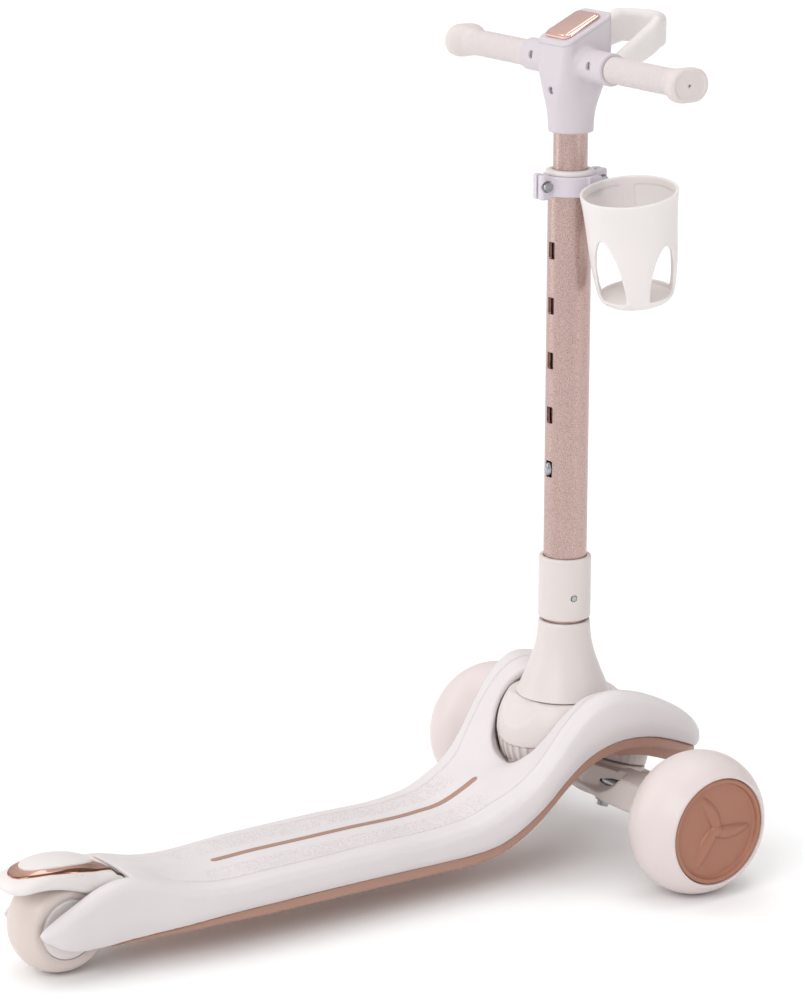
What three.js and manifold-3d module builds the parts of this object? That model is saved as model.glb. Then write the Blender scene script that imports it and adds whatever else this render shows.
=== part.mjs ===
// Three-wheeled kick scooter for small children: a lean-to-steer deck with two wide front wheels, one rear
// wheel under a foot brake, and a folding, height-adjustable stem with a T-bar, a hand loop and a cup holder.
// Millimetres. +X is the rider's right, +Y is forward, +Z is up, and the ground is Z = 0.
import * as THREE from 'three';
import { mergeVertices } from 'three/addons/utils/BufferGeometryUtils.js';
import Module from 'manifold-3d';

const wasm = await Module();
wasm.setup();

// ---------------------------------------------------------------- driving dimensions
const GAP = 0.3; // between pieces that touch
const RUN = 0.35; // radial clearance of running fits, wide enough for faceted rounds
const STEM_Y = 215.5; // stem axis ahead of the middle of the whole scooter's length

const FRONT_AXLE = { y: 31.3, z: 60 };
const FRONT_WHEEL = { radius: 60, halfWidth: 30, treadArc: 40, midX: 143.3 };
const REAR_AXLE = { y: -486, z: 40 };
const REAR_WHEEL = { radius: 40, halfWidth: 22 };
const AXLE_R = 4;
const BEARING = { bore: 4.4, outer: 11, width: 7 };

const FOLD_AXIS = { y: 0, z: 108 };
const BALL_R = 55.5;
const CONE_BASE_Z = 140;
const FOLD_DEG = 78;

const KINGPIN = { y: 55.7, z: 70, tiltDeg: 16.6, boltR: 5 };
const BOSS_R = 27;

const OUTER_TUBE = { r: 18, inner: 15.2, bottom: 152, top: 574 };
const INNER_TUBE = { r: 14, inner: 12, bottom: 300, top: 656 };
const SLOT = { lowest: 334.7, pitch: 45.75, count: 5, width: 8, height: 14 };
const BUTTON = { halfWidth: 3.4, halfHeight: 6, tipY: -21.5, rootY: -10.5 };

const BAR = { z: 670, armR: 13.2, armEnd: 55, gripR: 10.6, end: 153.5, tubeR: 8 };

const FENDER_PIN = { y: -443.5, z: 66, r: 3 };
const CUP = { x: 63, y: 12, topZ: 573, height: 92, rimR: 40, wall: 2.6, leanX: 0.073, leanY: -0.162 };

const COLOURS = {
  white: 0xe3dedf,
  cream: 0xe0d9d6,
  lavender: 0xd6d1dc,
  tyre: 0xe6dedc,
  warmTyre: 0xddd2c9,
  copper: 0xa0735f,
  rose: 0xb79f98,
  chromeRose: 0xddb0a0,
  steel: 0xb9bbc0,
};

// ---------------------------------------------------------------- solids
// A closed geometry as a solid that can be joined and cut.
function solid(geometry) {
  const bare = geometry.clone();
  bare.deleteAttribute('normal');
  bare.deleteAttribute('uv');
  const merged = mergeVertices(bare, 1e-4);
  return new wasm.Manifold(new wasm.Mesh({
    numProp: 3,
    vertProperties: merged.attributes.position.array,
    triVerts: new Uint32Array(merged.index.array),
  }));
}

function geometryOf(manifold) {
  const { vertProperties, triVerts } = manifold.getMesh();
  const geometry = new THREE.BufferGeometry();
  geometry.setAttribute('position', new THREE.BufferAttribute(new Float32Array(vertProperties), 3));
  geometry.setIndex(new THREE.BufferAttribute(new Uint32Array(triVerts), 1));
  return geometry;
}

const cut = (body, ...tools) => tools.reduce((rest, tool) => rest.subtract(tool), body);
const join = (body, ...others) => others.reduce((sum, other) => sum.add(other), body);

// A box given by its lowest and highest corners.
function boxBetween([x0, y0, z0], [x1, y1, z1]) {
  const geometry = new THREE.BoxGeometry(x1 - x0, y1 - y0, z1 - z0);
  geometry.translate((x0 + x1) / 2, (y0 + y1) / 2, (z0 + z1) / 2);
  return solid(geometry);
}

// Axis directions for turned pieces: the lathe's own axis is +Y.
const TURN = {
  x: new THREE.Matrix4().makeRotationZ(-Math.PI / 2),
  y: new THREE.Matrix4(),
  z: new THREE.Matrix4().makeRotationX(Math.PI / 2),
};

// A turned piece: [radius, distance along the axis] pairs, closed on themselves or ending on the axis.
function turned(profile, axis, at, segments = 24) {
  const points = profile.map(([r, s]) => new THREE.Vector2(r, s));
  const geometry = new THREE.LatheGeometry(points, segments);
  geometry.applyMatrix4(TURN[axis]);
  geometry.translate(...at);
  const made = solid(geometry);
  return made.volume() > 0 ? made : flipped(geometry);
}

function flipped(geometry) {
  const flat = geometry.index ? geometry.toNonIndexed() : geometry;
  const position = flat.attributes.position;
  const turnedRound = new Float32Array(position.array.length);
  for (let i = 0; i < position.count; i += 3) {
    [0, 2, 1].forEach((source, target) => {
      turnedRound.set(position.array.subarray((i + source) * 3, (i + source + 1) * 3), (i + target) * 3);
    });
  }
  const out = new THREE.BufferGeometry();
  out.setAttribute('position', new THREE.BufferAttribute(turnedRound, 3));
  return solid(out);
}

function rod(radius, from, to, axis, at, segments = 16) {
  return turned([[0, from], [radius, from], [radius, to], [0, to]], axis, at, segments);
}

function ring(inner, outer, from, to, axis, at, segments = 20) {
  return turned([[inner, from], [outer, from], [outer, to], [inner, to], [inner, from]], axis, at, segments);
}

// A closed skin through rings of equally many points, with flat fans over both ends.
function loft(rings) {
  const count = rings[0].length;
  const positions = [];
  const face = (a, b, c) => positions.push(...a, ...b, ...c);
  for (let i = 0; i + 1 < rings.length; i += 1) {
    for (let k = 0; k < count; k += 1) {
      const next = (k + 1) % count;
      face(rings[i][k], rings[i][next], rings[i + 1][next]);
      face(rings[i][k], rings[i + 1][next], rings[i + 1][k]);
    }
  }
  const centre = (points) => [0, 1, 2].map((c) => points.reduce((sum, p) => sum + p[c], 0) / count);
  const first = centre(rings[0]);
  const last = centre(rings.at(-1));
  for (let k = 0; k < count; k += 1) {
    const next = (k + 1) % count;
    face(first, rings[0][next], rings[0][k]);
    face(last, rings.at(-1)[k], rings.at(-1)[next]);
  }
  const geometry = new THREE.BufferGeometry();
  geometry.setAttribute('position', new THREE.BufferAttribute(new Float32Array(positions), 3));
  const made = solid(geometry);
  return made.volume() > 0 ? made : flipped(geometry);
}

// An outline in the Y-Z plane given as [y, z] pairs, extruded from x0 to x1.
function slab(outline, x0, x1) {
  const shape = new THREE.Shape(outline.map(([y, z]) => new THREE.Vector2(y, z)));
  const geometry = new THREE.ExtrudeGeometry(shape, { depth: x1 - x0, bevelEnabled: false });
  geometry.applyMatrix4(new THREE.Matrix4().set(0, 0, 1, x0, 1, 0, 0, 0, 0, 1, 0, 0, 0, 0, 0, 1));
  return solid(geometry);
}

// A rounded-rectangle ring of points in the X-Y plane at height z.
function roundedRect(halfX, halfY, radius, z, centreY = 0, arcSteps = 3) {
  const corners = [[1, 1, 0], [-1, 1, 90], [-1, -1, 180], [1, -1, 270]];
  return corners.flatMap(([sx, sy, startDeg]) => Array.from({ length: arcSteps + 1 }, (_, i) => {
    const angle = THREE.MathUtils.degToRad(startDeg + (90 * i) / arcSteps);
    return [
      sx * (halfX - radius) + radius * Math.cos(angle),
      centreY + sy * (halfY - radius) + radius * Math.sin(angle),
      typeof z === 'function' ? z(centreY + sy * (halfY - radius) + radius * Math.sin(angle)) : z,
    ];
  }));
}

function moved(body, matrix) {
  return body.transform(matrix.elements);
}

// Turning about an X-parallel axis; positive swings +Y up towards +Z and +Z back towards -Y.
function aboutX(deg, { y, z }) {
  return new THREE.Matrix4().makeTranslation(0, y, z)
    .multiply(new THREE.Matrix4().makeRotationX(THREE.MathUtils.degToRad(deg)))
    .multiply(new THREE.Matrix4().makeTranslation(0, -y, -z));
}

// The kingpin's own frame: its Z runs up along the pin from the middle of the joint face.
const kingpinFrame = new THREE.Matrix4().makeTranslation(0, KINGPIN.y, KINGPIN.z)
  .multiply(new THREE.Matrix4().makeRotationX(-THREE.MathUtils.degToRad(KINGPIN.tiltDeg)));
const kingpinInverse = kingpinFrame.clone().invert();

// ---------------------------------------------------------------- scene graph
const scooter = new THREE.Group();
scooter.position.y = STEM_Y;

function material(colour, roughness, metalness = 0) {
  return new THREE.MeshStandardMaterial({ color: colour, roughness, metalness });
}

const FINISH = {
  white: () => material(COLOURS.white, 0.42),
  cream: () => material(COLOURS.cream, 0.4),
  lavender: () => material(COLOURS.lavender, 0.4),
  tyre: () => material(COLOURS.tyre, 0.5),
  warmTyre: () => material(COLOURS.warmTyre, 0.5),
  copper: () => material(COLOURS.copper, 0.55),
  rose: () => material(COLOURS.rose, 0.35, 0.8),
  chromeRose: () => material(COLOURS.chromeRose, 0.12, 1),
  steel: () => material(COLOURS.steel, 0.3, 1),
};

function add(name, finish, body) {
  const mesh = new THREE.Mesh(geometryOf(body), FINISH[finish]());
  mesh.name = name;
  scooter.add(mesh);
}

// ---------------------------------------------------------------- deck outline
// Along the scooter: y, half width, top at the rim, top at the inner ridge, top at the middle, and the lower
// edge of the white shell.
const DECK_STATIONS = [
  [-516, 35, 47, 47, 47, 42],
  [-500, 38.5, 56, 56, 56, 30],
  [-484, 40, 63, 63, 63, 25.5],
  [-468, 40.5, 71.5, 71.5, 71.5, 25],
  [-452, 41, 75.5, 75.5, 75.5, 25.5],
  [-438, 42, 75, 75.5, 76, 26.5],
  [-420, 45, 71, 72, 73, 28],
  [-400, 49, 64.5, 65.5, 66.5, 30],
  [-385, 51, 61.5, 62.3, 63, 31.5],
  [-360, 54, 60, 60.6, 61.5, 33.5],
  [-300, 57, 60.5, 60.88, 61.5, 35.5],
  [-220, 58, 60.5, 60.88, 61.5, 36],
  [-150, 58, 60.5, 61, 61.8, 35.5],
  [-125, 59, 63.5, 64, 64.5, 36],
  [-100, 61, 73.5, 73.7, 74, 41],
  [-90, 62, 78, 79, 79.5, 46],
  [-78, 63.5, 86, 85, 83.5, 52.5],
  [-66, 65, 99, 93, 86.3, 61],
  [-55, 67, 113, 104, 88.3, 72],
  [-45, 69, 126.5, 116.5, 92, 82.5],
  [-35, 71, 138, 129.5, 103, 92.5],
  [-25, 73, 148, 137, 115, 101],
  [-13, 75.5, 155.5, 144, 124, 108.5],
  [0, 77.5, 158, 146.6, 129, 113],
  [14, 79, 155.5, 146, 131, 114.5],
  [28, 80, 151.5, 143.5, 131, 114],
  [42, 80, 146, 139.5, 130, 111.5],
  [56, 80, 138.5, 134, 127, 107],
  [70, 79, 129.5, 126, 122, 101.5],
  [79, 77, 121, 119, 116, 97.5],
  [88, 71.5, 109.5, 109.5, 109, 93],
  [95, 62, 102, 102.7, 103, 90],
  [101, 48.5, 97, 98, 98.5, 88],
  [105, 35, 93, 94, 94, 86.5],
];

// Half section of the shell from its lower edge up and over to the inner ridge, as [x, z].
const INNER_RIDGE = 0.62; // share of the way from the middle to the rim
function shellSide([, halfWidth, rim, inner, , low], inset) {
  const height = rim - low;
  return [
    [halfWidth - 5 - inset, low - (inset > 0 ? 2 : 0)],
    [halfWidth - inset, low + 0.42 * height],
    [halfWidth - 2.5 - inset, rim - 0.24 * height - 0.5 * inset],
    [halfWidth - 9 - inset, rim - 1.5 - inset],
    [halfWidth - 17 - inset, rim - inset],
    [INNER_RIDGE * (halfWidth - 17), inner - inset],
  ];
}

function shellRing(station, inset) {
  const side = shellSide(station, inset);
  const middle = [0, station[4] - inset];
  const left = side.map(([x, z]) => [-x, z]).reverse();
  return [...side, middle, ...left].map(([x, z]) => [x, station[0], z]);
}

const WALL = 4.5;
function deckSkin(inset, from, to) {
  const stations = DECK_STATIONS.filter(([y]) => y >= from && y <= to);
  return loft(stations.map((station) => shellRing(station, inset)));
}

// Everything the folding stem sweeps through, from upright to folded, with clearance.
function coneEnvelope(clear) {
  return turned([
    [0, CONE_BASE_Z - 1], [40 + clear, CONE_BASE_Z - 1], [34.5 + clear, 152], [29 + clear, 165],
    [22.5 + clear, 190], [22.5 + clear, 262], [0, 262],
  ], 'z', [0, 0, 0], 20);
}

const SWEEP_STEP_DEG = 13.1;
function foldSweep(clear) {
  const cone = coneEnvelope(clear);
  let sweep = cone;
  for (let angle = SWEEP_STEP_DEG; angle <= FOLD_DEG + 1; angle += SWEEP_STEP_DEG) {
    sweep = sweep.add(moved(cone, aboutX(angle, FOLD_AXIS)));
  }
  return sweep;
}

function ballAt(radius, across = 24, around = 16) {
  const geometry = new THREE.SphereGeometry(radius, across, around);
  geometry.translate(0, FOLD_AXIS.y, FOLD_AXIS.z);
  return solid(geometry);
}

// ---------------------------------------------------------------- deck body
const FORK_INNER = 27.5;
const FORK_START = -436;

function deckShell() {
  const skin = cut(deckSkin(0, -516, 105), deckSkin(WALL, -438, 92));
  const fork = boxBetween([-FORK_INNER, -530, 0], [FORK_INNER, FORK_START, 120]);
  const pocket = ballAt(BALL_R + 1.2);
  const inlayGroove = boxBetween([-3, -347, 59.6], [3, -128, 66]);
  const axleHole = rod(AXLE_R + GAP, -33.5, 33.5, 'x', [0, REAR_AXLE.y, REAR_AXLE.z]);
  const pinHole = rod(FENDER_PIN.r + GAP, -34.5, 34.5, 'x', [0, FENDER_PIN.y, FENDER_PIN.z], 16);
  return cut(skin, fork, pocket, foldSweep(1.4), inlayGroove, axleHole, pinHole);
}

function trayRing([y, halfWidth, , , , low], belly) {
  const band = 9.5;
  const side = halfWidth - 6.5;
  const keel = side - 16;
  const half = [
    [side - 1, low - band],
    [side, low - band + 1.5],
    [side, low - GAP],
  ];
  const left = half.map(([x, z]) => [-x, z]).reverse();
  const under = [
    [-keel - 2, low - band], [-keel, low - band - belly], [keel, low - band - belly], [keel + 2, low - band],
  ];
  return [...half, ...left, ...under].map(([x, z]) => [x, y, z]);
}

function underTray() {
  const bellyFor = (y) => (y < -82 ? 0.4 : Math.min(12, 0.4 + (y + 82) * 0.75));
  const stations = DECK_STATIONS.filter(([y]) => y >= -468);
  const body = loft(stations.map((station) => trayRing(station, bellyFor(station[0]))));
  const fork = boxBetween([-FORK_INNER, -530, 0], [FORK_INNER, FORK_START, 120]);
  const wellZone = join(boxBetween([-60, -60, 40], [60, 20, 170]), boxBetween([-60, 19, 110], [60, 60, 170]));
  const well = ballAt(BALL_R + 1.2).intersect(wellZone);
  const bossHole = moved(rod(BOSS_R + GAP, -5, 20 + GAP, 'z', [0, 0, 0], 28), kingpinFrame);
  const headHole = moved(rod(9.5, 15, 40, 'z', [0, 0, 0], 16), kingpinFrame);
  const lighten = loft(stations.filter(([y]) => y > -440 && y < -80).map(([y, halfWidth, , , , low]) => [
    [halfWidth - 14, y, low + 1], [halfWidth - 14, y, low - 6.5],
    [-halfWidth + 14, y, low - 6.5], [-halfWidth + 14, y, low + 1],
  ]));
  const ears = [-1, 1].map((side) => {
    const block = slab([[-13, 94], [13, 96], [13, 111.5], [9, 119], [-9, 119], [-13, 104]], 0, 8);
    return moved(block, new THREE.Matrix4().makeTranslation(side > 0 ? 57.6 : -65.6, 0, 0));
  });
  const pinHole = rod(4.5 + GAP, -80, 80, 'x', [0, FOLD_AXIS.y, FOLD_AXIS.z]);
  const lightened = cut(body, fork, well, lighten, foldSweep(1.4));
  return cut(join(lightened, ...ears), bossHole, headHole, pinHole);
}

function steerBoss() {
  return moved(ring(KINGPIN.boltR + RUN, BOSS_R, 0.8, 20, 'z', [0, 0, 0], 28), kingpinFrame);
}

add('deck_shell', 'white', deckShell());
add('under_tray', 'copper', underTray());
add('deck_inlay', 'copper', boxBetween([-2.6, -346.5, 59.9], [2.6, -128.5, 61.9]));
add('steer_boss', 'cream', steerBoss());
add('fold_pin', 'steel', rod(4.5, -64, 64, 'x', [0, FOLD_AXIS.y, FOLD_AXIS.z]));

// ---------------------------------------------------------------- kingpin and steering truck
function hexNut(bore, outer, from, to, axis, at) {
  return cut(rod(outer, from, to, axis, at, 6), rod(bore, from - 1, to + 1, axis, at, 24));
}

const TRUCK = { top: -5, bottom: -32, disc: -0.8, bushR: 19, bushDepth: 4 };

function prismOnKingpin(outline, from, to) {
  const shape = new THREE.Shape(outline.map(([x, y]) => new THREE.Vector2(x, y)));
  const geometry = new THREE.ExtrudeGeometry(shape, { depth: to - from, bevelEnabled: false });
  geometry.translate(0, 0, from);
  geometry.applyMatrix4(kingpinFrame);
  return solid(geometry);
}

// Rounded rectangle in the Y-Z plane at one place along X.
function armRing(x, halfY, halfZ, radius, dz = 0) {
  return roundedRect(halfY, halfZ, radius, 0).map(([y, z]) => [x, FRONT_AXLE.y + y, FRONT_AXLE.z + z + dz]);
}

function truckBeam() {
  const outline = [
    [0, -31], [11, -29], [30, -15], [30, 22], [21, 30], [-21, 30], [-30, 22], [-30, -15], [-11, -29],
  ];
  const block = prismOnKingpin(outline, TRUCK.bottom, TRUCK.top);
  const disc = moved(rod(BOSS_R, TRUCK.top - 2, TRUCK.disc, 'z', [0, 0, 0], 28), kingpinFrame);
  const arms = [-1, 1].map((side) => loft([
    armRing(side * 12, 12, 13, 4), armRing(side * 34, 15, 14, 5), armRing(side * 70, 14, 13.5, 5),
    armRing(side * 102, 12, 11.5, 5), armRing(side * 111, 8, 8, 7.5), armRing(side * 116.6, 7, 7, 6.8),
  ]));
  const top = moved(boxBetween([-60, -70, TRUCK.top], [60, 70, 60]), kingpinFrame)
    .intersect(boxBetween([-38, -30, 0], [38, 120, 140]));
  const kingpinHole = moved(rod(KINGPIN.boltR + RUN, -60, 10, 'z', [0, 0, 0]), kingpinFrame);
  const seatFloor = TRUCK.disc - TRUCK.bushDepth;
  const bushSeat = moved(rod(TRUCK.bushR + GAP, seatFloor, 5, 'z', [0, 0, 0], 20), kingpinFrame);
  const axleHole = rod(AXLE_R + GAP, -130, 130, 'x', [0, FRONT_AXLE.y, FRONT_AXLE.z]);
  // Room for the folded ball at every steering angle.
  const foldedBall = ballAt(BALL_R + 1.2).intersect(boxBetween([-60, -60, 40], [60, 16.8, 110]));
  const ballSweep = [-12, -6, 0, 6, 12].map((deg) => {
    const turn = new THREE.Matrix4().makeRotationZ(THREE.MathUtils.degToRad(deg));
    return moved(foldedBall, kingpinFrame.clone().multiply(turn).multiply(kingpinInverse));
  });
  const beam = cut(join(block, ...arms), top, ...ballSweep);
  return cut(join(beam, disc), kingpinHole, bushSeat, axleHole);
}

function onKingpin(body) {
  return moved(body, kingpinFrame);
}

function kingpinBolt() {
  const shank = rod(KINGPIN.boltR, -43, 21, 'z', [0, 0, 0]);
  const head = rod(8.5, 20 + GAP, 26, 'z', [0, 0, 0], 6);
  // The cross axle passes behind the kingpin, clear of its shank.
  return onKingpin(join(shank, head));
}

add('kingpin_bolt', 'steel', kingpinBolt());
add('kingpin_nut', 'steel', onKingpin(
  hexNut(KINGPIN.boltR + GAP, 8, -38.5, TRUCK.bottom - GAP, 'z', [0, 0, 0]),
));
add('truck_beam', 'cream', truckBeam());
add('steer_bush', 'cream', onKingpin(
  ring(KINGPIN.boltR + RUN, TRUCK.bushR, TRUCK.disc - TRUCK.bushDepth + GAP, 0.4, 'z', [0, 0, 0]),
));

// ---------------------------------------------------------------- front wheels
const CORE_R = 33.7;
const CAP_R = 44.8;

function treadArc({ radius, treadArc: arc }, reach, steps) {
  return Array.from({ length: steps + 1 }, (_, i) => {
    const x = -reach + (2 * reach * i) / steps;
    return [radius - arc + Math.sqrt(arc * arc - x * x), x];
  });
}

function frontWheel(side, suffix) {
  const at = [side * FRONT_WHEEL.midX, FRONT_AXLE.y, FRONT_AXLE.z];
  const sided = (profile) => profile.map(([r, x]) => [r, side * x]);
  const tyre = [
    [CORE_R + GAP, -27], [43, -FRONT_WHEEL.halfWidth], ...treadArc(FRONT_WHEEL, 27.5, 6),
    [46.3, FRONT_WHEEL.halfWidth], [CAP_R + GAP, 28.6], [CAP_R + GAP, 20.6], [CORE_R + GAP, 20.6],
    [CORE_R + GAP, -27],
  ];
  add(`front_tyre_${suffix}`, 'tyre', turned(sided(tyre), 'x', at, 32));

  const seat = BEARING.outer + GAP;
  const core = [
    [seat, -26.3], [CORE_R, -24.5], [CORE_R, 20], [seat, 20], [seat, 11.7], [8, 11.7], [8, -18.7],
    [seat, -18.7], [seat, -26.3],
  ];
  add(`front_core_${suffix}`, 'cream', turned(sided(core), 'x', at, 20));

  const cap = [
    [0, 24.6], [42.6, 24.6], [42.6, 21], [CAP_R, 21], [CAP_R, 27.8], [42.6, 27.8], [41.6, 26.4], [7, 26.4],
    [5, 28.4], [0, 29.2],
  ];
  const blades = [90, 210, 330].map((deg) => {
    const blade = boxBetween([side > 0 ? 25 : -27.8, 3, -4.5], [side > 0 ? 27.8 : -25, 35, 4.5]);
    const turn = new THREE.Matrix4().makeTranslation(...at)
      .multiply(new THREE.Matrix4().makeRotationX(THREE.MathUtils.degToRad(deg + 25)));
    return moved(blade, turn);
  });
  add(`hub_cap_${suffix}`, 'copper', join(turned(sided(cap), 'x', at, 28), ...blades));

  [['inner', -26], ['outer', 12]].forEach(([place, start]) => {
    const ends = [side * start, side * (start + BEARING.width)].sort((a, b) => a - b);
    add(`front_bearing_${place}_${suffix}`, 'steel', ring(BEARING.bore, BEARING.outer, ...ends, 'x', at, 16));
  });
  const nutEnds = [side * 19.4, side * 23.4].sort((a, b) => a - b);
  add(`axle_nut_${suffix}`, 'steel', hexNut(AXLE_R + GAP, 7, ...nutEnds, 'x', at));
}

add('front_axle', 'steel', rod(AXLE_R, -FRONT_WHEEL.midX - 24, FRONT_WHEEL.midX + 24, 'x',
  [0, FRONT_AXLE.y, FRONT_AXLE.z]));
frontWheel(1, 'right');
frontWheel(-1, 'left');

// ---------------------------------------------------------------- rear wheel
const REAR_AT = [0, REAR_AXLE.y, REAR_AXLE.z];
const REAR_CORE_R = 24.5;

function rearWheel() {
  const face = REAR_WHEEL.halfWidth;
  const tread = treadArc({ radius: REAR_WHEEL.radius, treadArc: 34 }, 20, 4);
  const tyre = [
    [REAR_CORE_R + GAP, -face + 0.6], [30, -face], ...tread, [30, face], [REAR_CORE_R + GAP, face - 0.6],
    [REAR_CORE_R + GAP, -face + 0.6],
  ];
  add('rear_tyre', 'warmTyre', turned(tyre, 'x', REAR_AT, 28));
  const seat = BEARING.outer + GAP;
  const shoulder = face - 1 - BEARING.width - GAP;
  const core = [
    [seat, -face + 0.8], [REAR_CORE_R, -face + 0.8], [REAR_CORE_R, face - 0.8], [seat, face - 0.8],
    [seat, shoulder], [8, shoulder], [8, -shoulder], [seat, -shoulder], [seat, -face + 0.8],
  ];
  add('rear_core', 'cream', turned(core, 'x', REAR_AT, 16));
  const out = face - 1;
  const bearing = (from) => ring(BEARING.bore, BEARING.outer, from, from + BEARING.width, 'x', REAR_AT, 16);
  add('rear_bearing_right', 'steel', bearing(out - BEARING.width));
  add('rear_bearing_left', 'steel', bearing(-out));
}

rearWheel();
add('rear_axle', 'steel', rod(AXLE_R, -33, 33, 'x', REAR_AT));
const SPACER = [REAR_WHEEL.halfWidth - 0.4, FORK_INNER - GAP];
add('rear_spacer_right', 'steel', ring(AXLE_R + GAP, 7, SPACER[0], SPACER[1], 'x', REAR_AT, 16));
add('rear_spacer_left', 'steel', ring(AXLE_R + GAP, 7, -SPACER[1], -SPACER[0], 'x', REAR_AT, 16));

// ---------------------------------------------------------------- foot brake over the rear wheel
const FENDER = { y: -494, z: 33, skin: 61, trim: 63.2, pad: 65.2, halfWidth: 26.2, cornerR: 15, rearY: -536 };

function fenderArc(radius, fromDeg, toDeg, steps) {
  return Array.from({ length: steps + 1 }, (_, i) => {
    const angle = THREE.MathUtils.degToRad(fromDeg + ((toDeg - fromDeg) * i) / steps);
    return [FENDER.y + radius * Math.cos(angle), FENDER.z + radius * Math.sin(angle)];
  });
}

function tyreClearance(radius, fromDeg, toDeg, steps) {
  return Array.from({ length: steps + 1 }, (_, i) => {
    const angle = THREE.MathUtils.degToRad(fromDeg + ((toDeg - fromDeg) * i) / steps);
    return [REAR_AXLE.y + radius * Math.cos(angle), REAR_AXLE.z + radius * Math.sin(angle)];
  });
}

// The arched top falls away slightly towards the sides.
function crowned(radius) {
  const fall = [[0, 0], [12, 0.6], [20, 1.8], [24, 3.6], [FENDER.halfWidth, 6.5]];
  const half = fall.map(([x, drop]) => [radius - drop, x]);
  const profile = [...half.slice(1).reverse().map(([r, x]) => [r, -x]), ...half];
  const closed = [[0, -FENDER.halfWidth], ...profile, [0, FENDER.halfWidth]];
  return turned(closed, 'x', [0, FENDER.y, FENDER.z], 48);
}

// Seen from above: straight sides with well rounded rear corners.
function fenderPlan() {
  const { halfWidth: w, cornerR: r, rearY } = FENDER;
  const shape = new THREE.Shape();
  shape.moveTo(w, -400);
  shape.lineTo(-w, -400);
  shape.lineTo(-w, rearY + r);
  shape.absarc(-w + r, rearY + r, r, Math.PI, 1.5 * Math.PI);
  shape.lineTo(w - r, rearY);
  shape.absarc(w - r, rearY + r, r, -0.5 * Math.PI, 0);
  return solid(new THREE.ExtrudeGeometry(shape, { depth: 120, bevelEnabled: false, curveSegments: 4 }));
}

function fenderShell() {
  const roof = slab([
    ...fenderArc(FENDER.skin + 8, 36, 118, 8), [-531, 88], [-536.5, 84], [-536, 79.5], [-531, 78],
    ...tyreClearance(46, 118, 34, 8), [-448.5, 60.5], [-444, 59.8], [-439.5, 61.5], [-437.6, 65],
    [-438, 69],
  ], -FENDER.halfWidth, FENDER.halfWidth).intersect(crowned(FENDER.skin)
    .add(boxBetween([-30, -540, 60], [30, -522, 86.5])));
  const skirt = [
    [-529, 81.5], [-515.5, 80], [-494, 74.7], [-472, 66.6], [-454, 60], [-450, 68], [-466, 76], [-490, 82],
    [-515, 84],
  ];
  const skirts = [slab(skirt, 23.8, FENDER.halfWidth), slab(skirt, -FENDER.halfWidth, -23.8)];
  const pinAt = [0, FENDER_PIN.y, FENDER_PIN.z];
  const pinHole = rod(FENDER_PIN.r + RUN, -40, 40, 'x', pinAt, 16);
  const springSlot = rod(8.2, -22, -11, 'x', pinAt, 16);
  return cut(join(roof, ...skirts).intersect(fenderPlan()), pinHole, springSlot);
}

function fenderLayer(under, over, fromDeg, toDeg, halfWidth) {
  const sector = slab([[FENDER.y, FENDER.z], ...fenderArc(90, fromDeg, toDeg, 6)], -halfWidth, halfWidth);
  return cut(crowned(over).intersect(sector), crowned(under));
}

add('fender_shell', 'white', fenderShell());
add('fender_trim', 'chromeRose', fenderLayer(FENDER.skin + GAP, FENDER.trim, 44, 113, 23.5));
add('fender_pad', 'white', fenderLayer(FENDER.trim + GAP, FENDER.pad, 55, 110, 17));
const FENDER_PIN_AT = [0, FENDER_PIN.y, FENDER_PIN.z];
add('fender_pin', 'steel', rod(FENDER_PIN.r, -34, 34, 'x', FENDER_PIN_AT, 16));
add('fender_spring', 'steel', ring(FENDER_PIN.r + GAP, 5.6, -21, -12, 'x', FENDER_PIN_AT, 16));

// ---------------------------------------------------------------- folding stem
const PEDAL = { low: 88, high: 117, halfWidth: 34, depth: 6, travel: 3 };

function pedalZone(clear) {
  return boxBetween(
    [-PEDAL.halfWidth - clear, -60, PEDAL.low - clear], [PEDAL.halfWidth + clear, -22, PEDAL.high + clear],
  );
}

// Ball sector seen from the side: flat under the cone, round behind and high in front, open below.
const BALL_SIDE = [
  [-58, CONE_BASE_Z - GAP], [50, CONE_BASE_Z - GAP], [50, 118], [18, 112], [12, 97], [0, 92], [-58, 83.8],
];

function stemBall() {
  const sector = slab(BALL_SIDE, -60, 60).intersect(ballAt(BALL_R, 28, 16));
  const hollows = [-1, 1].map((side) => boxBetween(
    [side > 0 ? 12 : -30, -30, 70], [side > 0 ? 30 : -12, 8, 130],
  ));
  const hub = rod(12, -46, 46, 'x', [0, FOLD_AXIS.y, FOLD_AXIS.z], 20);
  const pinHole = rod(4.5 + RUN, -60, 60, 'x', [0, FOLD_AXIS.y, FOLD_AXIS.z]);
  const recess = cut(pedalZone(GAP), ballAt(BALL_R - PEDAL.depth - PEDAL.travel - GAP, 24, 14));
  return cut(join(cut(sector, ...hollows), hub), pinHole, recess);
}

function foldPedal() {
  const zone = pedalZone(0);
  const plate = cut(ballAt(BALL_R - 2.2, 24, 14).intersect(zone), ballAt(BALL_R - PEDAL.depth, 20, 12));
  const ribs = Array.from({ length: 7 }, (_, i) => {
    const x = (i - 3) * 9.2;
    return boxBetween([x - 1.6, -60, PEDAL.low + 1], [x + 1.6, -24, PEDAL.high - 2])
      .intersect(ballAt(BALL_R - 0.3, 24, 14));
  }).map((rib) => cut(rib, ballAt(BALL_R - PEDAL.depth + 1.5, 20, 12)));
  return join(plate, ...ribs);
}

function stemCone() {
  return turned([
    [12, 140], [40, 140], [37, 145.5], [33, 154], [29, 165], [25.7, 174.5], [22.4, 188], [20.6, 200.4],
    [18.3, 200.4], [18.3, 151.7], [12, 151.7], [12, 140],
  ], 'z', [0, 0, 0], 28);
}

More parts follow.
